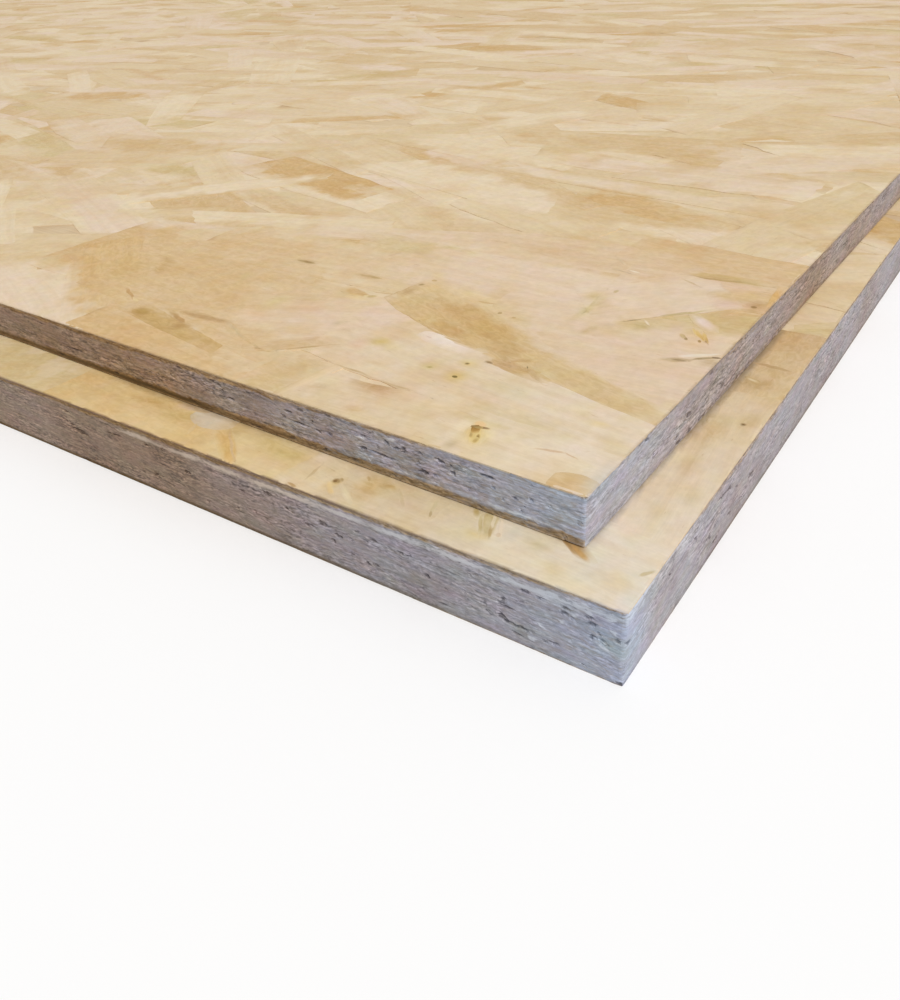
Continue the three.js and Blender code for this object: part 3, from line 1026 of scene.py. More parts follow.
def settle(strands, rng):
    """Gives each strand a step that no strand under or over it has."""
    taken = {}
    for strand in strands:
        squares = strand.squares()
        used = set().union(*(taken.get(each, ()) for each in squares))
        free = [step for step in range(RANDOM_STEPS) if step not in used]
        strand.step = rng.choice(free) if free else rng.randrange(RANDOM_STEPS)
        strand.lift = rng.uniform(0, 0.4)  # of a step, so that no two strands lie in one plane
        for each in squares:
            taken.setdefault(each, set()).add(strand.step)


def pile(strands):
    """Gives each strand the step above those that it lies on, in the order they are laid."""
    top = {}
    for strand in strands:
        squares = strand.squares(10 * MM)
        strand.step = max([top.get(each, RANDOM_STEPS - 1) for each in squares]) + 1
        for each in squares:
            top[each] = strand.step


CREAM_REACH, TAN_REACH = 90, 250  # millimetres that a face is cream, and over which it turns to its tan
TAN_DRIFT = 300  # and the size of its darker and lighter parts there


def ground_tone(along, across):
    """The tone that a face has as a whole: cream by the near corner, and between cream and tan beyond."""
    away = clamped((math.hypot(along, across) - CREAM_REACH) / TAN_REACH)
    drift = 0.7 + 0.9 * waver(along / TAN_DRIFT, across / TAN_DRIFT, 0)
    return between(CREAM, TAN, away * clamped(drift))


def bed_of(strands):
    """The strands over each square of a face, from the lowest to the highest."""
    bed = {}
    for strand in sorted(strands, key=lambda s: s.step):
        for each in strand.squares():
            bed.setdefault(each, []).append(strand)
    return bed


def lay(bm, layers, strand, rng, cell, bed, marks=()):
    """One strand laid flat on a face in cells of the given size, with ragged ends and wandering sides."""
    grain_place, wood_colour, ground_colour, strand_reach, strand_fade = layers
    columns, ranks = 4, 1
    if cell:
        columns, ranks = max(6, round(strand.length / cell)), max(4, round(strand.width / cell))
    seed, phase = rng.uniform(0, 400), rng.uniform(0, 100)
    ragged = min(strand.ragged, 0.4 * strand.length / columns)
    wander = min(0.4 * MM, 0.15 * strand.width) if cell else 0.0
    matrix, height = strand.matrix(), strand.height()
    for vert in bmesh.ops.create_grid(bm, x_segments=columns, y_segments=ranks, size=0.5)["verts"]:
        u, v = 2 * vert.co.x, 2 * vert.co.y  # from -1 to 1
        x = u * strand.length / 2
        y = v * strand.half_width(u)
        x += strand.slants[u > 0] * y * abs(u) ** 3
        if abs(u) > 0.999:
            x += ragged * (1.5 * waver(y / MM / 5, u, phase) + rng.uniform(-0.25, 0.25))
        y += strand.sway * waver(u * 2.2, v * 0.4, phase)
        y += wander * waver(x / MM / 4, v, phase + 50)
        y += strand.bow * (1 - u * u)
        vert.co = matrix @ Vector((x, y, height))
        along, across = -vert.co.x / MM, vert.co.y / MM
        colour, ground = strand.colour_at(u), ground_tone(along, across)
        for under in bed.get(square(vert.co), ()):
            if under.step >= strand.step:
                break
            ground = under.over(ground, vert.co)
        # The marks are stains and, on the lower sheet, painted contact shade along the upper sheet.
        for mark in marks:
            ground = mark.over(ground, along, across)
            if strand.stained:
                colour = mark.over(colour, along, across)
        vert[grain_place] = (x, y, seed)
        vert[wood_colour], vert[ground_colour] = colour, ground
        vert[strand_reach] = (u, v, 0)
        vert[strand_fade] = (*faded(u, v, strand.fades), 0)


def strand_layers(bm):
    """What each strand carries: its grain's place, its colour, the face's own tone, its borders and fades."""
    places, colours = bm.verts.layers.float_vector, bm.verts.layers.float_color
    return (
        places.new("grain_place"), colours.new("wood_colour"), colours.new("ground_colour"),
        places.new("strand_reach"), places.new("strand_fade"),
    )


def colour_layers(bm):
    """The two of these that are colours."""
    return [bm.verts.layers.float_color[name] for name in ("wood_colour", "ground_colour")]


def cut_off(bm, spot, outward, clear=True):
    """Cuts a face across, and drops what lies outward of the cut. Gives the corners on the cut."""
    cut = bmesh.ops.bisect_plane(
        bm, geom=bm.verts[:] + bm.edges[:] + bm.faces[:], dist=1e-7,
        plane_co=spot, plane_no=outward, clear_outer=clear,
    )["geom_cut"]
    return [item for item in cut if isinstance(item, bmesh.types.BMVert)]


def trim_to_sheet(bm, inset):
    """Cuts off what hangs over the four sides of a sheet, and frays the cut."""
    near, far = (-inset, inset, 0), (inset - SHEET_LENGTH, SHEET_WIDTH - inset, 0)
    for spot, outward in ((near, (1, 0, 0)), (near, (0, -1, 0)), (far, (-1, 0, 0)), (far, (0, 1, 0))):
        for vert in cut_off(bm, spot, Vector(outward)):
            fray = 0.5 + 0.5 * waver(vert.co.x / MM / 2.3, vert.co.y / MM / 2.3, 7.0)
            vert.co -= Vector(outward) * FRAY * fray


def wear_rim(bm, sheet):
    """Rounds a face's rim along the front and the near end, and lets sealer or worn wood show on it."""
    cut_off(bm, (0, RIM, 0), (0, -1, 0), clear=False)
    cut_off(bm, (-RIM, 0, 0), (1, 0, 0), clear=False)
    cut_off(bm, (-CORNER_RADIUS / 3 * MM, CORNER_RADIUS / 3 * MM, 0), (1, -1, 0))
    colours = colour_layers(bm)
    for vert in bm.verts:
        along, across = -vert.co.x / MM, vert.co.y / MM
        for side, run, inwards in ((FRONT, along, across), (NEAR_END, across, along)):
            if inwards < ON_RIM:
                edge = EDGES[sheet][side]
                worn = 0.5 + 0.5 * waver(run / 7, side * 3.1, 2.0)
                vert.co.z -= (0.04 + 0.12 * worn) * MM
                share = min(1.0, along_points(edge.rim, run) * (0.6 + 0.8 * worn))
                for layer in colours:
                    vert[layer] = between(vert[layer], rim_tone(edge, run), share)


def rim_tone(edge, run):
    """The tone of a sheet's top rim at one place: its sealer, or the wood where that has come off."""
    # The sealer and the worn wood take the light painted on the edge, from cool to warm.
    warm_light = along_points(edge.warm_light, run)
    sealer = between(COOL_LIT_SEALER, SEALER, clamped(warm_light * 2))
    bare = 0.9 * along_points(edge.bare_top, run) - 0.3 + 0.6 * waver(run / 9, 5.0, 1.0)
    wood = between(WORN_RIM, BROWN_RIM, clamped(2 * warm_light - 1))
    return between(sealer, wood, max(0.0, min(0.9, bare)))


def thicken(bm, sheet=None):
    """Gives flat strands their thickness, straight down. Their sides are painted dark as the shade in the
    creases between strands, but for faded borders.
    """
    made = bmesh.ops.extrude_face_region(bm, geom=bm.faces[:], use_keep_orig=True)["geom"]
    under = [item for item in made if isinstance(item, bmesh.types.BMVert)]
    bmesh.ops.translate(bm, verts=under, vec=(0, 0, -STRAND_THICKNESS))
    fade = bm.verts.layers.float_vector["strand_fade"]
    colours = colour_layers(bm)
    for vert in under:
        tone, share = STRAND_SIDE_SHADE, 0.8 * (1 - melted(*vert[fade][:2]))
        along, across = -vert.co.x / MM, vert.co.y / MM
        for side, run, inwards in ((FRONT, along, across), (NEAR_END, across, along)):
            if sheet and inwards < ON_RIM:
                tone, share = rim_tone(EDGES[sheet][side], run), 0.9
        for layer in colours:
            vert[layer] = between(vert[layer], tone, share)
    bmesh.ops.recalc_face_normals(bm, faces=bm.faces[:])


REACH = 420 * MM  # strands nearer the near corner than this are laid in cells
CELL, CORNER_CELL = 5 * MM, 1.8 * MM


def face_of_strands(name, sheet, strands, rng, bed=None, underside=False, cell=CELL, marks=()):
    """All the strands of one face, trimmed to the sheet and given their thickness."""
    face = bmesh.new()
    strand_layers(face)
    tray = bpy.data.meshes.new("tray")
    bed = bed or bed_of(strands)
    for start in range(0, len(strands), TRAY):
        bm = bmesh.new()
        layers = strand_layers(bm)
        for strand in strands[start:start + TRAY]:
            fine = not underside and math.hypot(strand.along, strand.across) < REACH
            lay(bm, layers, strand, rng, cell if fine else None, bed, marks)
        trim_to_sheet(bm, LIP if underside else 0.0)
        if not underside:
            wear_rim(bm, sheet)
        thicken(bm, None if underside else sheet)
        bm.to_mesh(tray)
        bm.free()
        face.from_mesh(tray)
    bpy.data.meshes.remove(tray)
    if underside:
        bmesh.ops.scale(face, vec=(1, 1, -1), verts=face.verts[:])
        bmesh.ops.translate(face, vec=(0, 0, RANDOM_DEPTH), verts=face.verts[:])
        bmesh.ops.reverse_faces(face, faces=face.faces[:])
    else:
        bmesh.ops.translate(face, vec=(0, 0, sheet.thickness - FACE_DEPTH), verts=face.verts[:])
    piece = finished(face, name, sheet, [FACE_STRAND])
    return piece


# --- what is laid one by one


class SoftMark(Spot):
    """A soft mark on a face, for stains and for painted contact shade: its middle, its size, its colour, how
    strong it is and how it is turned.
    """

    def __init__(self, along, across, length, width, colour, amount=0.6, turn=0):
        super().__init__(along, across, length, width, turn)
        self.colour, self.amount = paint(*colour), amount

    def over(self, colour, along, across):
        """The colour with the mark laid over it."""
        share = self.share(along, across, 1.0)
        return between(colour, self.colour, share * self.amount) if share else colour


def stains(*rows):
    """A list of stains, one from each row."""
    return [SoftMark(*row) for row in rows]


def laid(along, across, length, width, turn, colour, near_colour, fades, **shape):
    """A strand, its colours as seen on a screen, with one fade for all four borders or one for each."""
    fades = fades if isinstance(fades, tuple) else (fades,) * 4
    return Strand(along, across, length, width, turn, paint(*colour), paint(*near_colour), fades, **shape)


def fleck(along, across, length, width, turn, colour, near_colour=None, bow=0.0, soft=0.85):
    """A small pointed flake with soft borders, which the stains and painted shade laid over the face leave
    alone.
    """
    return laid(
        along, across, length, width, turn, colour, near_colour or colour, soft,
        point=0.95, bow=bow, ragged=0.2, sway=0.04 * length, stained=False,
    )


def cloud(*place_and_colours, bow=0.0):
    """A fleck that is soft all through."""
    return fleck(*place_and_colours, bow=bow, soft=1.0)


def crease(along, across, length, width, turn, colour, bow=0.0):
    """A soft hairline that comes and goes: painted shade along a strand's border, and where it is pale, a
    painted highlight beside one.
    """
    return cloud(along, across, length, width * 1.4, turn, colour, bow=bow)


# The strands that lie uppermost by the near corner, from the first laid to the last.
UPPER_CORNER_STRANDS = [
    laid(255, 72, 170, 84, 6, (214, 184, 138), (217, 191, 150), (0, 0.9, 0.9, 0.9), cuts=(0, -40)),
    laid(205, 112, 150, 44, -4, (216, 188, 146), (221, 197, 162), (0, 0.9, 0.9, 0.9)),
    laid(282, 44, 120, 34, 38, (213, 181, 129), (215, 187, 142), (0, 0.8, 0.9, 0.7), bow=-3),
    laid(188, 5, 132, 36, 2, (214, 183, 136), (217, 188, 144), (0, 0.9, 0, 0.9)),
    laid(133, 13, 26, 32, 0, (214, 187, 142), (213, 188, 144), (1, 1, 0, 1)),
    laid(236, 50, 110, 44, 5, (213, 184, 138), (217, 189, 148), 0.9),
    laid(180, 29, 64, 22, 6, (215, 186, 141), (217, 190, 149), 0.9),
    laid(118, 134, 112, 62, 3, (224, 201, 172), (225, 203, 178), (0.8, 0.3, 0.8, 0.8), cuts=(20, 3)),
    laid(75, 172, 150, 34, -3, (220, 196, 164), (218, 191, 156), (0.8, 0.6, 0.8, 0)),
    laid(20, 186, 120, 30, 4, (217, 189, 149), (214, 184, 140), (0.8, 0, 0.8, 0)),
    laid(30, 155, 75, 30, -4, (224, 199, 172), (219, 190, 155), (0.8, 0.4, 0.8, 0.8)),
    laid(32, 88, 130, 70, -6, (222, 199, 171), (223, 200, 174), (0.8, 0.2, 0.6, 0.8)),
    laid(44, 140, 60, 40, -42, (225, 202, 175), (225, 204, 180), (0.8, 0.8, 0.2, 0.9)),
    laid(150, 62, 92, 46, -20, (221, 196, 165), (224, 201, 173), (1, 0.9, 0.8, 0.9), cuts=(-20, 10)),
    laid(146, 35, 46, 11, -36, (210, 180, 135), (219, 193, 160), (0.8, 1, 0.4, 0.9), bow=1.5),
    laid(62, 43, 162, 40, 5.4, (222, 202, 172), (227, 210, 185), (0.9, 0, 0.7, 0.6)),
    laid(88, 11, 70, 27, -5, (218, 195, 159), (223, 204, 173), (0.9, 0.9, 0, 1.0)),
    laid(22, 10, 84, 30, 3, (226, 208, 179), (228, 212, 188), (0.9, 0, 0, 0.8)),
    laid(121.5, 15, 30, 5.5, 99, (227, 205, 173), (226, 203, 168), (0.7, 0.7, 0.8, 0.8)),
    laid(
        210, 22, 76, 13, 10, (199, 168, 111), (202, 171, 118), (0.9, 0.6, 0.45, 0.45), taper=0.55,
        cuts=(30, -20),
    ),
    laid(205, 34.8, 50, 5.5, -3, (206, 177, 132), (200, 171, 125), (1, 1, 1, 0.8), point=0.7),
    laid(91, 62.8, 38, 9.5, 9, (240, 228, 221), (229, 210, 188), (0.6, 1.0, 0.7, 0), point=0.7),
    laid(36, 61.5, 110, 26, 17, (210, 183, 136), (215, 192, 150), (0, 0.5, 0.5, 0.9), taper=0.25),
    laid(
        109, 87, 74, 31, 21, (211, 184, 138), (211, 182, 134), (0.6, 0.7, 0.2, 1.0), point=0.3,
        cuts=(-12, 20),
    ),
    laid(61, 58, 34, 7, 12, (203, 173, 127), (205, 177, 133), (0.8, 0.9, 0.6, 1.0), point=0.8),
    laid(160, 86, 18, 9, 10, (212, 183, 136), (205, 172, 120), 1, taper=0.6, point=0.6),
    fleck(153.8, 84.8, 3.4, 2.4, 0, (224, 202, 154)), fleck(151, 85.6, 5, 3, -40, (198, 174, 124)),
    laid(1.6, 161, 22, 3.4, 84, (222, 182, 118), (224, 172, 104), (0.9, 0.9, 0.2, 0.9), point=0.6),
    laid(6, 2, 16, 15, 0, (210, 181, 133), (216, 193, 152), (0.6, 0, 0, 0.3), point=0.6, ragged=0.2),
    laid(98, 87, 56, 19, 23, (208, 177, 126), (202, 168, 114), 1, point=0.8),
    laid(84, 79, 30, 11, 20, (203, 169, 116), (203, 171, 120), (1, 1, 0.9, 1), point=0.8),
    laid(102, 74.5, 26, 9, 20, (206, 172, 122), (200, 165, 112), (1, 1, 0.1, 1), point=0.6),
    laid(70, 70, 24, 12, 16, (203, 173, 122), (204, 174, 126), 1, point=0.8),
    crease(112, 28, 30, 1.0, 5, (206, 183, 148)),
    cloud(88, 26.1, 30, 1.1, 3, (203, 176, 140), (214, 193, 161)),
    crease(55, 22.3, 17, 0.9, 7, (213, 192, 158)),
    cloud(22, 16, 12, 1.6, -14, (215, 190, 158), (211, 183, 151), bow=0.4),
    crease(14.5, 17, 6, 0.5, 15, (214, 190, 161)),
    crease(154, 24.2, 10, 0.8, -17, (202, 176, 139), bow=-0.4),
    fleck(141, 34.6, 26, 1.2, -40, (196, 168, 128), (204, 178, 142)),
    crease(146, 28.8, 15, 0.6, -38, (226, 203, 168)), crease(160.5, 25, 9, 1.0, 22, (204, 179, 140)),
    cloud(158, 24.2, 7, 1.5, -6, (184, 156, 112)), crease(178, 31.4, 30, 1.6, 23, (207, 182, 141)),
    crease(109, 71.8, 18, 0.8, 22, (200, 170, 124), bow=-0.5),
    crease(93, 66.6, 16, 0.7, 5, (206, 180, 142)), fleck(66, 58.8, 11, 2.6, 8, (195, 165, 118)),
    fleck(57, 58.8, 13, 3.2, -4, (198, 168, 122)), fleck(62, 64, 13, 2.8, -30, (201, 171, 124)),
    fleck(68, 63, 9, 2.4, 30, (202, 173, 126)), cloud(52, 57.2, 13, 2.6, 38, (201, 173, 130)),
    fleck(71.4, 57.3, 4.6, 1.9, 8, (156, 128, 88)), fleck(44.8, 52.6, 3, 1.2, 10, (228, 212, 190)),
    fleck(77.8, 52.7, 2.3, 1.8, 0, (142, 120, 74)), fleck(76, 42.1, 2.4, 1.6, 0, (132, 116, 64)),
    fleck(88.5, 43.8, 3.6, 1.9, -20, (186, 168, 120)), fleck(92, 96.5, 2.1, 2.2, 0, (186, 160, 116)),
    fleck(84.5, 95.3, 2.4, 1.5, 0, (200, 172, 126)), fleck(139.9, 106.4, 3.6, 2.6, -40, (170, 142, 96)),
    fleck(137.5, 112.8, 3.2, 2.2, 0, (200, 172, 124)),
    fleck(5.6, 147.6, 2.9, 2.4, 30, (162, 130, 82), soft=0.95),
    cloud(46.9, 12.8, 13.5, 7.6, 62, (222, 192, 132), (226, 206, 156)),
    cloud(49.2, 19, 6.4, 4.4, 20, (232, 198, 152)),
    laid(
        47.1, 12.8, 9.8, 4.2, 62, (172, 128, 58), (214, 188, 124), (0.5, 0.9, 0.8, 0.8), point=0.5,
        ragged=0.3, sway=0.2,
    ),
    fleck(48.2, 12.4, 4.6, 1.3, 60, (192, 168, 112), soft=0.95),
    laid(
        48.8, 15.6, 4.8, 3.2, 60, (150, 108, 46), (194, 158, 90), (0.2, 0.8, 0.5, 0.6), point=0.6,
        ragged=0.2, sway=0.1, stained=False,
    ),
    fleck(45.4, 12, 3.8, 1.4, 62, (148, 120, 68), (184, 158, 102), soft=0.9),
    cloud(45, 9.8, 4.4, 2.4, 70, (196, 170, 112)),
    fleck(46.6, 17.5, 4.6, 1.7, -12, (150, 120, 80), (170, 144, 108), soft=0.8),
    laid(
        49.2, 16.9, 4.0, 1.7, -10, (122, 84, 36), (132, 92, 44), (0.7, 0.7, 0.6, 0.6), point=0.6,
        ragged=0.2, sway=0.1,
    ),
    cloud(14, 91, 15, 4.0, -22, (210, 190, 158), (186, 161, 126)),
    cloud(12.4, 91.4, 6.4, 1.6, -15, (170, 147, 114)), fleck(7, 98.8, 17, 2.6, -34, (230, 214, 194)),
    crease(5, 97, 12, 1.2, -36, (176, 153, 120)), fleck(1.6, 99.2, 3.6, 1.2, -10, (146, 122, 98)),
    cloud(17, 125, 20, 7.0, 39, (228, 210, 197), (227, 205, 190)),
    cloud(16.8, 116, 10, 2.0, 52, (220, 194, 134)),
    fleck(13.8, 113.8, 13, 2.0, 52, (224, 194, 128), (204, 168, 100), soft=0.95),
    fleck(11.2, 112.8, 12, 1.8, 56, (224, 194, 128), (198, 162, 96), soft=0.95),
    cloud(19, 110.2, 5.6, 2.0, 45, (198, 176, 132)), fleck(17.2, 108.7, 2.4, 1.3, 55, (170, 146, 104)),
    fleck(12, 109, 2.4, 1.3, 60, (174, 144, 96)), fleck(9.8, 109.8, 2.2, 1.2, 60, (182, 150, 100)),
    fleck(27, 130, 28, 1.8, -43, (200, 181, 138), (206, 187, 146)),
    fleck(41.5, 115, 9, 1.4, -42, (150, 130, 90), (168, 148, 106)),
    fleck(35.8, 115, 6.6, 1.4, 45, (232, 219, 198)), crease(67.5, 159, 13, 0.8, 10, (196, 172, 139)),
    fleck(63.5, 161.3, 6.6, 1.6, 12, (234, 217, 190)),
    laid(24, 171.6, 38, 7, -3, (208, 181, 131), (205, 177, 125), (0.9, 0.9, 0.6, 1.0), point=0.4),
    cloud(25, 169, 40, 1.8, -3, (188, 160, 110)), crease(37, 160, 13, 0.9, 26, (208, 185, 152)),
    crease(75, 170.5, 14, 0.8, 42, (213, 191, 155)), fleck(60.7, 137.8, 2.2, 4.2, 0, (206, 186, 148)),
    crease(63.8, 124, 30, 0.9, 84, (212, 191, 153)), fleck(208.5, 104.5, 12, 2.6, 0, (168, 140, 92)),
    fleck(167.5, 103.6, 14, 2.2, -3, (192, 164, 118)), fleck(202, 34.8, 30, 2.4, -4, (192, 160, 114)),
    cloud(214, 29.4, 26, 3.2, 18, (190, 156, 106)), cloud(203.5, 23, 11, 5.5, -20, (188, 154, 100)),
    cloud(233, 25.5, 11, 7, 0, (188, 158, 96)), fleck(256, 36.8, 18, 2.2, 26, (196, 158, 106)),
    fleck(247.5, 33.4, 9, 1.7, 22, (222, 198, 152)),
]
UPPER_STAINS = stains(
    (118.5, 52, 12, 10, (206, 182, 102), 0.9, -20), (113, 51, 14, 9, (218, 200, 148), 0.6),
    (96, 22, 24, 14, (193, 155, 114), 0.9), (96, 10, 18, 18, (222, 196, 168), 0.6),
    (105, 22, 9, 7, (204, 177, 144)), (92.5, 6.3, 11, 6, (208, 176, 126), 0.8),
    (114, 13, 7, 6, (204, 183, 148), 0.8), (50.5, 4.5, 6, 12, (198, 183, 148), 0.9, 10),
    (1, 12, 9, 26, (208, 200, 190), 0.8), (46.5, 13, 13, 20, (230, 210, 146), 0.8),
    (54, 14, 6, 16, (238, 225, 204), 0.8), (76, 42.5, 13, 12, (216, 192, 122), 0.9),
    (77.5, 53, 11, 9, (218, 194, 134), 0.9), (89, 44.5, 9, 8, (216, 198, 144), 0.8),
    (55, 44, 26, 16, (213, 202, 168), 0.6), (16, 38, 9, 5, (226, 205, 152), 0.9),
    (23, 41.5, 8, 5, (222, 204, 165)), (12, 24, 26, 14, (230, 216, 198), 0.6),
    (90, 83, 46, 20, (202, 169, 110), 0.8, 18), (108, 76, 10, 6, (202, 165, 104), 0.9, 15),
    (72, 70, 18, 11, (198, 166, 114), 0.8, 20), (20, 52, 22, 8, (204, 176, 126), 0.6, 17),
    (140.5, 98, 7, 18, (194, 162, 115), 0.9), (128, 93, 14, 18, (208, 184, 134), 0.7),
    (112, 90, 30, 18, (205, 170, 120), 0.8, 20), (136, 70, 26, 20, (226, 201, 182), 0.7),
    (165, 62, 34, 24, (225, 197, 173), 0.7), (182, 43, 18, 13, (225, 198, 170), 0.8),
    (146, 57, 7, 6, (198, 177, 146), 0.8), (138, 54.5, 7, 5, (200, 178, 148), 0.8),
    (160, 45, 30, 10, (216, 189, 142), 0.7), (125, 46, 14, 10, (226, 196, 176), 0.8, 40),
    (135, 32.5, 8, 5, (236, 212, 192), 0.9), (128, 22, 18, 14, (208, 187, 136), 0.7),
    (172, 86, 9, 6, (198, 168, 120), 0.9), (158, 82, 18, 6, (230, 208, 152), 0.8),
    (168, 103.5, 18, 6, (196, 168, 120), 0.8), (176, 70, 20, 12, (206, 183, 138)),
    (187, 60, 12, 24, (214, 196, 138)), (204, 24, 14, 8, (184, 146, 92), 0.5),
    (234, 25, 14, 10, (180, 148, 88), 0.5), (285, 60, 44, 26, (206, 174, 116), 0.8, 45),
    (112, 105, 60, 18, (221, 195, 147), 0.8, 12), (88, 95, 34, 14, (221, 197, 152), 0.6, 24),
    (134, 108, 24, 20, (219, 190, 140), 0.7), (14, 114, 20, 16, (222, 191, 136), 0.6, 50),
    (188, 46, 16, 12, (228, 200, 172), 0.9), (222, 76, 6, 26, (204, 186, 134), 0.5, -25),
    (270, 66, 20, 8, (196, 162, 106), 0.8, 50), (276, 75, 24, 7, (194, 160, 106), 0.8, 20),
    (208, 104.5, 16, 6, (180, 154, 104), 0.9), (66, 129, 13, 12, (208, 187, 134), 0.8, 30),
    (62.5, 116, 5, 34, (208, 189, 140), 0.8), (58, 101, 12, 16, (229, 205, 188), 0.8),
    (53, 98, 6, 16, (202, 181, 142), 0.8, 20), (55, 113, 11, 7, (208, 186, 155)),
    (48, 107, 7, 5, (208, 188, 158)), (36, 111.5, 12, 9, (196, 178, 130), 0.9, -10),
    (28, 121, 22, 16, (212, 191, 152), 0.7, -42), (16, 145, 14, 12, (219, 191, 180), 0.9),
    (12, 131, 10, 12, (202, 182, 132), 0.9), (20, 153, 28, 10, (208, 182, 132), 0.8),
    (5, 150, 13, 14, (190, 154, 104), 0.8), (4.5, 138, 9, 30, (198, 166, 114), 0.8, 5),
    (1.5, 160, 8, 30, (216, 180, 120), 0.7), (10, 158, 26, 14, (214, 186, 134), 0.8),
    (25, 170, 40, 9, (202, 173, 126), 0.7), (2, 95, 8, 10, (190, 164, 128), 0.8),
    (12, 106, 16, 11, (222, 188, 148), 0.7), (140, 118, 18, 8, (222, 195, 142), 0.7, 40),
)
LOWER_CORNER_STRANDS = [
    laid(215, 10, 100, 44, 4, (218, 188, 136), (224, 198, 150), (0.5, 0.4, 0, 0)),
    laid(150, 12, 56, 40, 3, (223, 198, 150), (225, 202, 158), (0.6, 0.9, 0, 0)),
    laid(85, 8, 90, 40, 2, (215, 194, 160), (219, 202, 172), (0.5, 0.7, 0, 0)),
    laid(122, 6, 20, 34, 10, (225, 206, 172), (225, 206, 172), (0.9, 0.9, 0, 0)),
    laid(8, 150, 84, 44, 88, (207, 178, 136), (216, 194, 156), (0, 0.6, 0, 0)),
    laid(8, 72, 120, 44, 86, (218, 197, 162), (227, 212, 192), (0.6, 0.6, 0, 0)),
    laid(16, 9, 110, 50, 4, (226, 211, 184), (228, 218, 201), (0.8, 0, 0, 0.8)),
    laid(165.5, 10, 32, 7.5, 36, (214, 180, 118), (216, 180, 118), (0.9, 0.8, 0.8, 0.9), point=0.85),
    laid(182, 20.5, 22, 14, 0, (214, 200, 180), (217, 202, 178), (0.5, 0.6, 0.4, 0), point=0.85),
    laid(195, 22.8, 20, 5, -12, (216, 188, 152), (217, 194, 164), (0.8, 0.6, 0.7, 0), point=0.7),
    laid(24, 18.2, 16, 5.2, 30, (156, 120, 76), (216, 186, 138), (0, 0.9, 0.8, 0.8), point=0.8, ragged=0.4),
    fleck(23, 16.9, 11, 2.4, 30, (184, 144, 92), (204, 168, 114), soft=0.95),
    laid(54.5, 16, 17, 5, 68, (208, 191, 150), (203, 185, 142), (0.8, 0.9, 0.8, 0.9), point=0.7, bow=0.8),
    cloud(56.3, 14.5, 14, 1.6, 64, (200, 182, 138)), cloud(52.2, 14.5, 12, 1.6, 68, (196, 174, 130)),
    cloud(53.4, 17.6, 9, 1.5, 66, (222, 206, 172)), fleck(49.4, 15.5, 10, 1.4, 62, (229, 212, 184)),
    fleck(48.4, 12.4, 2.4, 1.6, 60, (217, 197, 168)), fleck(61, 19.4, 8, 2.4, 55, (194, 172, 124)),
    cloud(74, 14.4, 12, 1.7, 72, (210, 193, 158)), fleck(72.9, 11, 3.4, 1.1, 60, (192, 172, 136)),
    fleck(111.8, 10.8, 4.2, 3.8, 30, (162, 134, 90), soft=0.95),
    fleck(112.2, 10.3, 2.2, 2.2, 0, (140, 110, 70)), fleck(110.6, 12, 3, 1.6, 40, (176, 150, 106)),
    cloud(104, 6.4, 14, 2.8, 36, (226, 208, 173)), cloud(111, 6.2, 10, 2.8, 38, (224, 196, 146)),
    cloud(122.6, 11, 13, 1.6, 84, (211, 190, 155)), cloud(124, 1.4, 6, 2.0, 10, (196, 166, 122)),
    crease(162, 9.6, 30, 0.9, 40, (211, 181, 136)), fleck(184, 10, 9, 2.2, 70, (224, 201, 160)),
    cloud(94, 17, 6, 2.4, 0, (198, 171, 126)), fleck(103, 17.2, 4, 1.4, 40, (192, 164, 120)),
    cloud(86, 13, 12, 1.6, 45, (211, 192, 156)), cloud(2.2, 18.5, 7, 2.0, -56, (204, 188, 154)),
    fleck(6.5, 109.5, 2.6, 2.6, 0, (126, 102, 64)), cloud(12, 157, 18, 2.6, 4, (188, 158, 114)),
    cloud(14.5, 143, 8, 2.8, 20, (220, 201, 166)),
]
LOWER_STAINS_AND_SHADE = stains(
    (18, 13, 12, 26, (218, 212, 196), 0.7), (22, 6, 12, 14, (224, 212, 188), 0.6),
    (30, 21, 6, 6, (150, 120, 82), 0.8), (54, 9, 14, 5, (218, 194, 140), 0.8),
    (56, 19, 12, 8, (206, 188, 138), 0.7), (38, 9, 20, 8, (224, 204, 172), 0.6),
    (45, 15, 8, 12, (212, 206, 186), 0.6), (99, 13, 15, 20, (204, 172, 112), 0.9),
    (94, 16.5, 12, 6, (198, 170, 118), 0.8), (112, 8, 6, 12, (216, 186, 130), 0.8, 20),
    (85, 16, 22, 8, (208, 188, 148), 0.6), (68, 15, 12, 14, (214, 198, 162), 0.6),
    (118, 15, 8, 10, (206, 184, 146), 0.6), (144, 14, 26, 13, (206, 180, 118), 0.7, 10),
    (152, 19, 30, 8, (206, 184, 128), 0.7), (140, 7, 20, 8, (224, 200, 160), 0.7),
    (128, 4, 16, 8, (230, 210, 178), 0.6), (168, 19, 12, 12, (198, 172, 116), 0.8, 60),
    (136, 16, 16, 12, (206, 186, 122), 0.7), (176, 6, 14, 10, (214, 184, 134), 0.6),
    (196, 15, 24, 12, (200, 172, 106), 0.8), (215, 18, 30, 10, (198, 164, 100), 0.8),
    (228, 6, 22, 10, (212, 174, 118), 0.6), (13, 76, 12, 22, (208, 182, 138), 0.7),
    (14, 100, 12, 36, (204, 180, 134), 0.8), (6, 112, 8, 20, (202, 176, 136), 0.7),
    (8, 64, 10, 20, (226, 204, 172), 0.6), (13, 141, 18, 16, (188, 158, 112), 0.9),
    (9, 152, 16, 12, (202, 172, 128), 0.8), (12, 47, 11, 14, (214, 192, 156), 0.7),
    (15, 33, 10, 10, (230, 206, 184), 0.7), (5, 60, 8, 18, (206, 186, 152), 0.6),
    (27, 7, 12, 8, (222, 200, 152), 0.7, 10), (9, 13, 7, 7, (222, 206, 174), 0.6),
    (36, 14, 13, 6, (204, 188, 148), 0.7, 5), (16, 3.5, 10, 5, (232, 218, 190), 0.6),
    (5, 16, 9, 9, (214, 206, 190), 0.6), (2, 6, 9, 18, (222, 218, 212), 0.8),
)
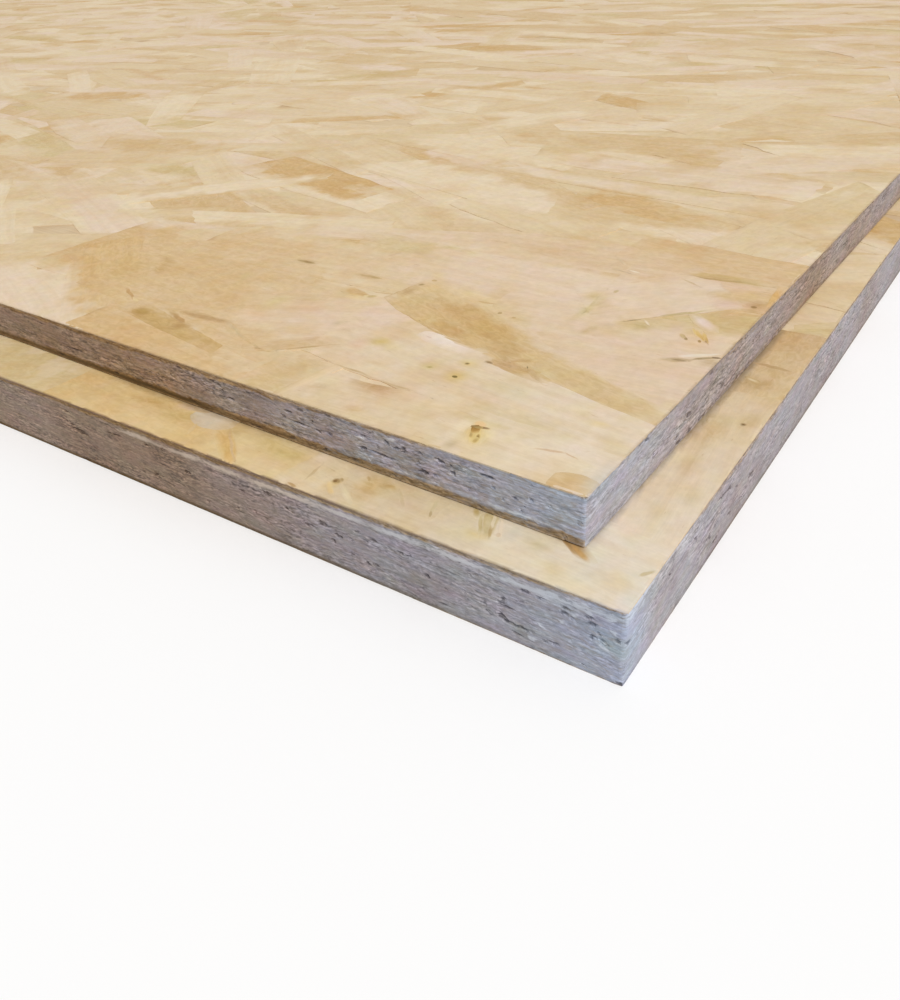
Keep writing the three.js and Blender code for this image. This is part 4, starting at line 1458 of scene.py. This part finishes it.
# Painted contact shade lies on the lower sheet along the upper one's near end, and along its front.
for step in range(26):
    across = 24 + 6.5 * step
    along = SET_IN_ALONG - SKEW_SLOPE * (across - SET_IN_ACROSS)
    width, amount, tone = (3.8, 0.34, (142, 140, 146)) if across < 90 else (6.0, 0.55, (132, 116, 98))
    LOWER_STAINS_AND_SHADE.append(SoftMark(along, across, 26, width, tone, amount, 90 + SKEW))
for step in range(28):
    along = 30 + 8 * step
    across = SET_IN_ACROSS + SKEW_SLOPE * (along - SET_IN_ALONG)
    amount = min(0.42, max(0.08, 0.005 * (along - 110))) * (0.8 + 0.4 * chance(step, 3, 5))
    LOWER_STAINS_AND_SHADE.append(SoftMark(along, across, 24, 5.5, (120, 92, 56), amount, SKEW))

# --- the pieces

grain = wood_grain_group()
stain = handling_group()
FACE_STRAND = face_strand_material(grain, stain)
CORE_FACE = core_face_material(grain, stain)
SEALED_EDGE = sealed_edge_material(stain)

for key, sheet in ((0, LOWER), (10, UPPER)):
    core = finished(core_mesh(sheet, key), sheet.name + "_core", sheet, [SEALED_EDGE, CORE_FACE])
    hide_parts(sheet.name)


def anywhere(strand):
    """The whole face."""
    return True


def not_covered(strand):
    """Where the lower sheet's top shows, or nearly so."""
    return strand.across < 95 * MM or strand.along < 60 * MM


def overhanging(strand):
    """Where the upper sheet's underside can be seen, or nearly so."""
    if strand.across > SHEET_WIDTH - 130 * MM or strand.along > SHEET_LENGTH - 90 * MM:
        return True
    return strand.along < 60 * MM


def settled_strands(seed, keep):
    """The random strands of a face, settled on each other, and what draws their chances."""
    rng = random.Random(seed)
    strands = random_strands(rng, keep)
    settle(strands, rng)
    return strands, rng


for sheet, seed, keep, corner_strands, marks in (
    (UPPER, 4, anywhere, UPPER_CORNER_STRANDS, UPPER_STAINS),
    (LOWER, 5, not_covered, LOWER_CORNER_STRANDS, LOWER_STAINS_AND_SHADE),
):
    strands, rng = settled_strands(seed, keep)
    face_of_strands(sheet.name.replace("sheet", "top_strands"), sheet, strands, rng)
    pile(corner_strands)
    face_of_strands(
        sheet.name.replace("sheet", "corner_strands"), sheet, corner_strands, rng,
        bed_of(strands + corner_strands), cell=CORNER_CELL, marks=marks,
    )
for sheet, seed, keep in ((LOWER, 6, anywhere), (UPPER, 7, overhanging)):
    strands, rng = settled_strands(seed, keep)
    face_of_strands(sheet.name.replace("sheet", "underside_strands"), sheet, strands, rng, underside=True)

# --- floor, lights and camera

TOWARDS_KEY = Vector((0.655, -0.25, 0.713))
KEY_STRENGTH = 2.45
KEY_SOFTNESS = 34  # degrees that the light is wide
FLOOR_REACH = 20
FLOOR_GREY, FLOOR_SEEN = paint(215, 215, 215), paint(252, 252, 252)  # what light meets, and what the eye does
SKY_STRENGTH, SKY_SEEN_MORE = 0.46, 0.54  # and how much brighter the sky looks than it shines

CAMERA_PLACE = Vector((1284.8, -772.2, 191.2)) * MM
CAMERA_HEADING = 36.93  # degrees from +Y towards -X
CAMERA_DIP = 35.41
CAMERA_ROLL = -4.47
CAMERA_LENS = 31.18


def studio():
    """A pale floor, an even sky and one wide light."""
    made, tree, shader = material("pale_floor")
    shader["Roughness"].default_value = 0.9
    shader["Specular IOR Level"].default_value = 0.0
    seen = node(tree, "LightPath").outputs["Is Camera Ray"]
    tree.links.new(mixed(tree, seen, FLOOR_GREY, FLOOR_SEEN), shader["Base Color"])
    bm = bmesh.new()
    bmesh.ops.create_grid(bm, x_segments=1, y_segments=1, size=FLOOR_REACH)
    floor = shape_in_scene(bm, "studio_floor", [made])

    world = bpy.data.worlds.new("studio")
    bpy.context.scene.world = world
    world.use_nodes = True
    tree = world.node_tree
    tree.nodes.clear()
    seen = node(tree, "LightPath").outputs["Is Camera Ray"]
    strength = figure(tree, "MULTIPLY_ADD", seen, SKY_SEEN_MORE, SKY_STRENGTH)
    sky = node(tree, "Background", {"Color": (1, 1, 1, 1), "Strength": strength})
    node(tree, "OutputWorld", {"Surface": sky.outputs[0]})

    lamp = bpy.data.lights.new("key_light", "SUN")
    lamp.energy = KEY_STRENGTH
    lamp.angle = math.radians(KEY_SOFTNESS)
    lamp.color = (1.0, 0.99, 0.98)
    key = in_scene("key_light", lamp)
    key.location = TOWARDS_KEY * 3
    key.rotation_euler = TOWARDS_KEY.to_track_quat("Z", "Y").to_euler()


def camera():
    """The camera, which looks down at the near corner."""
    lens = bpy.data.cameras.new("camera")
    lens.lens = CAMERA_LENS
    lens.sensor_width = 36
    lens.sensor_fit = "AUTO"
    lens.clip_start = 0.01
    view = in_scene("camera", lens)
    turn = (
        Matrix.Rotation(math.radians(CAMERA_HEADING), 4, "Z")
        @ Matrix.Rotation(math.radians(90 - CAMERA_DIP), 4, "X")
        @ Matrix.Rotation(math.radians(CAMERA_ROLL), 4, "Z")
    )
    view.matrix_world = Matrix.Translation(CAMERA_PLACE) @ turn
    bpy.context.scene.camera = view


studio()
camera()
bpy.context.scene.view_settings.view_transform = "Standard"
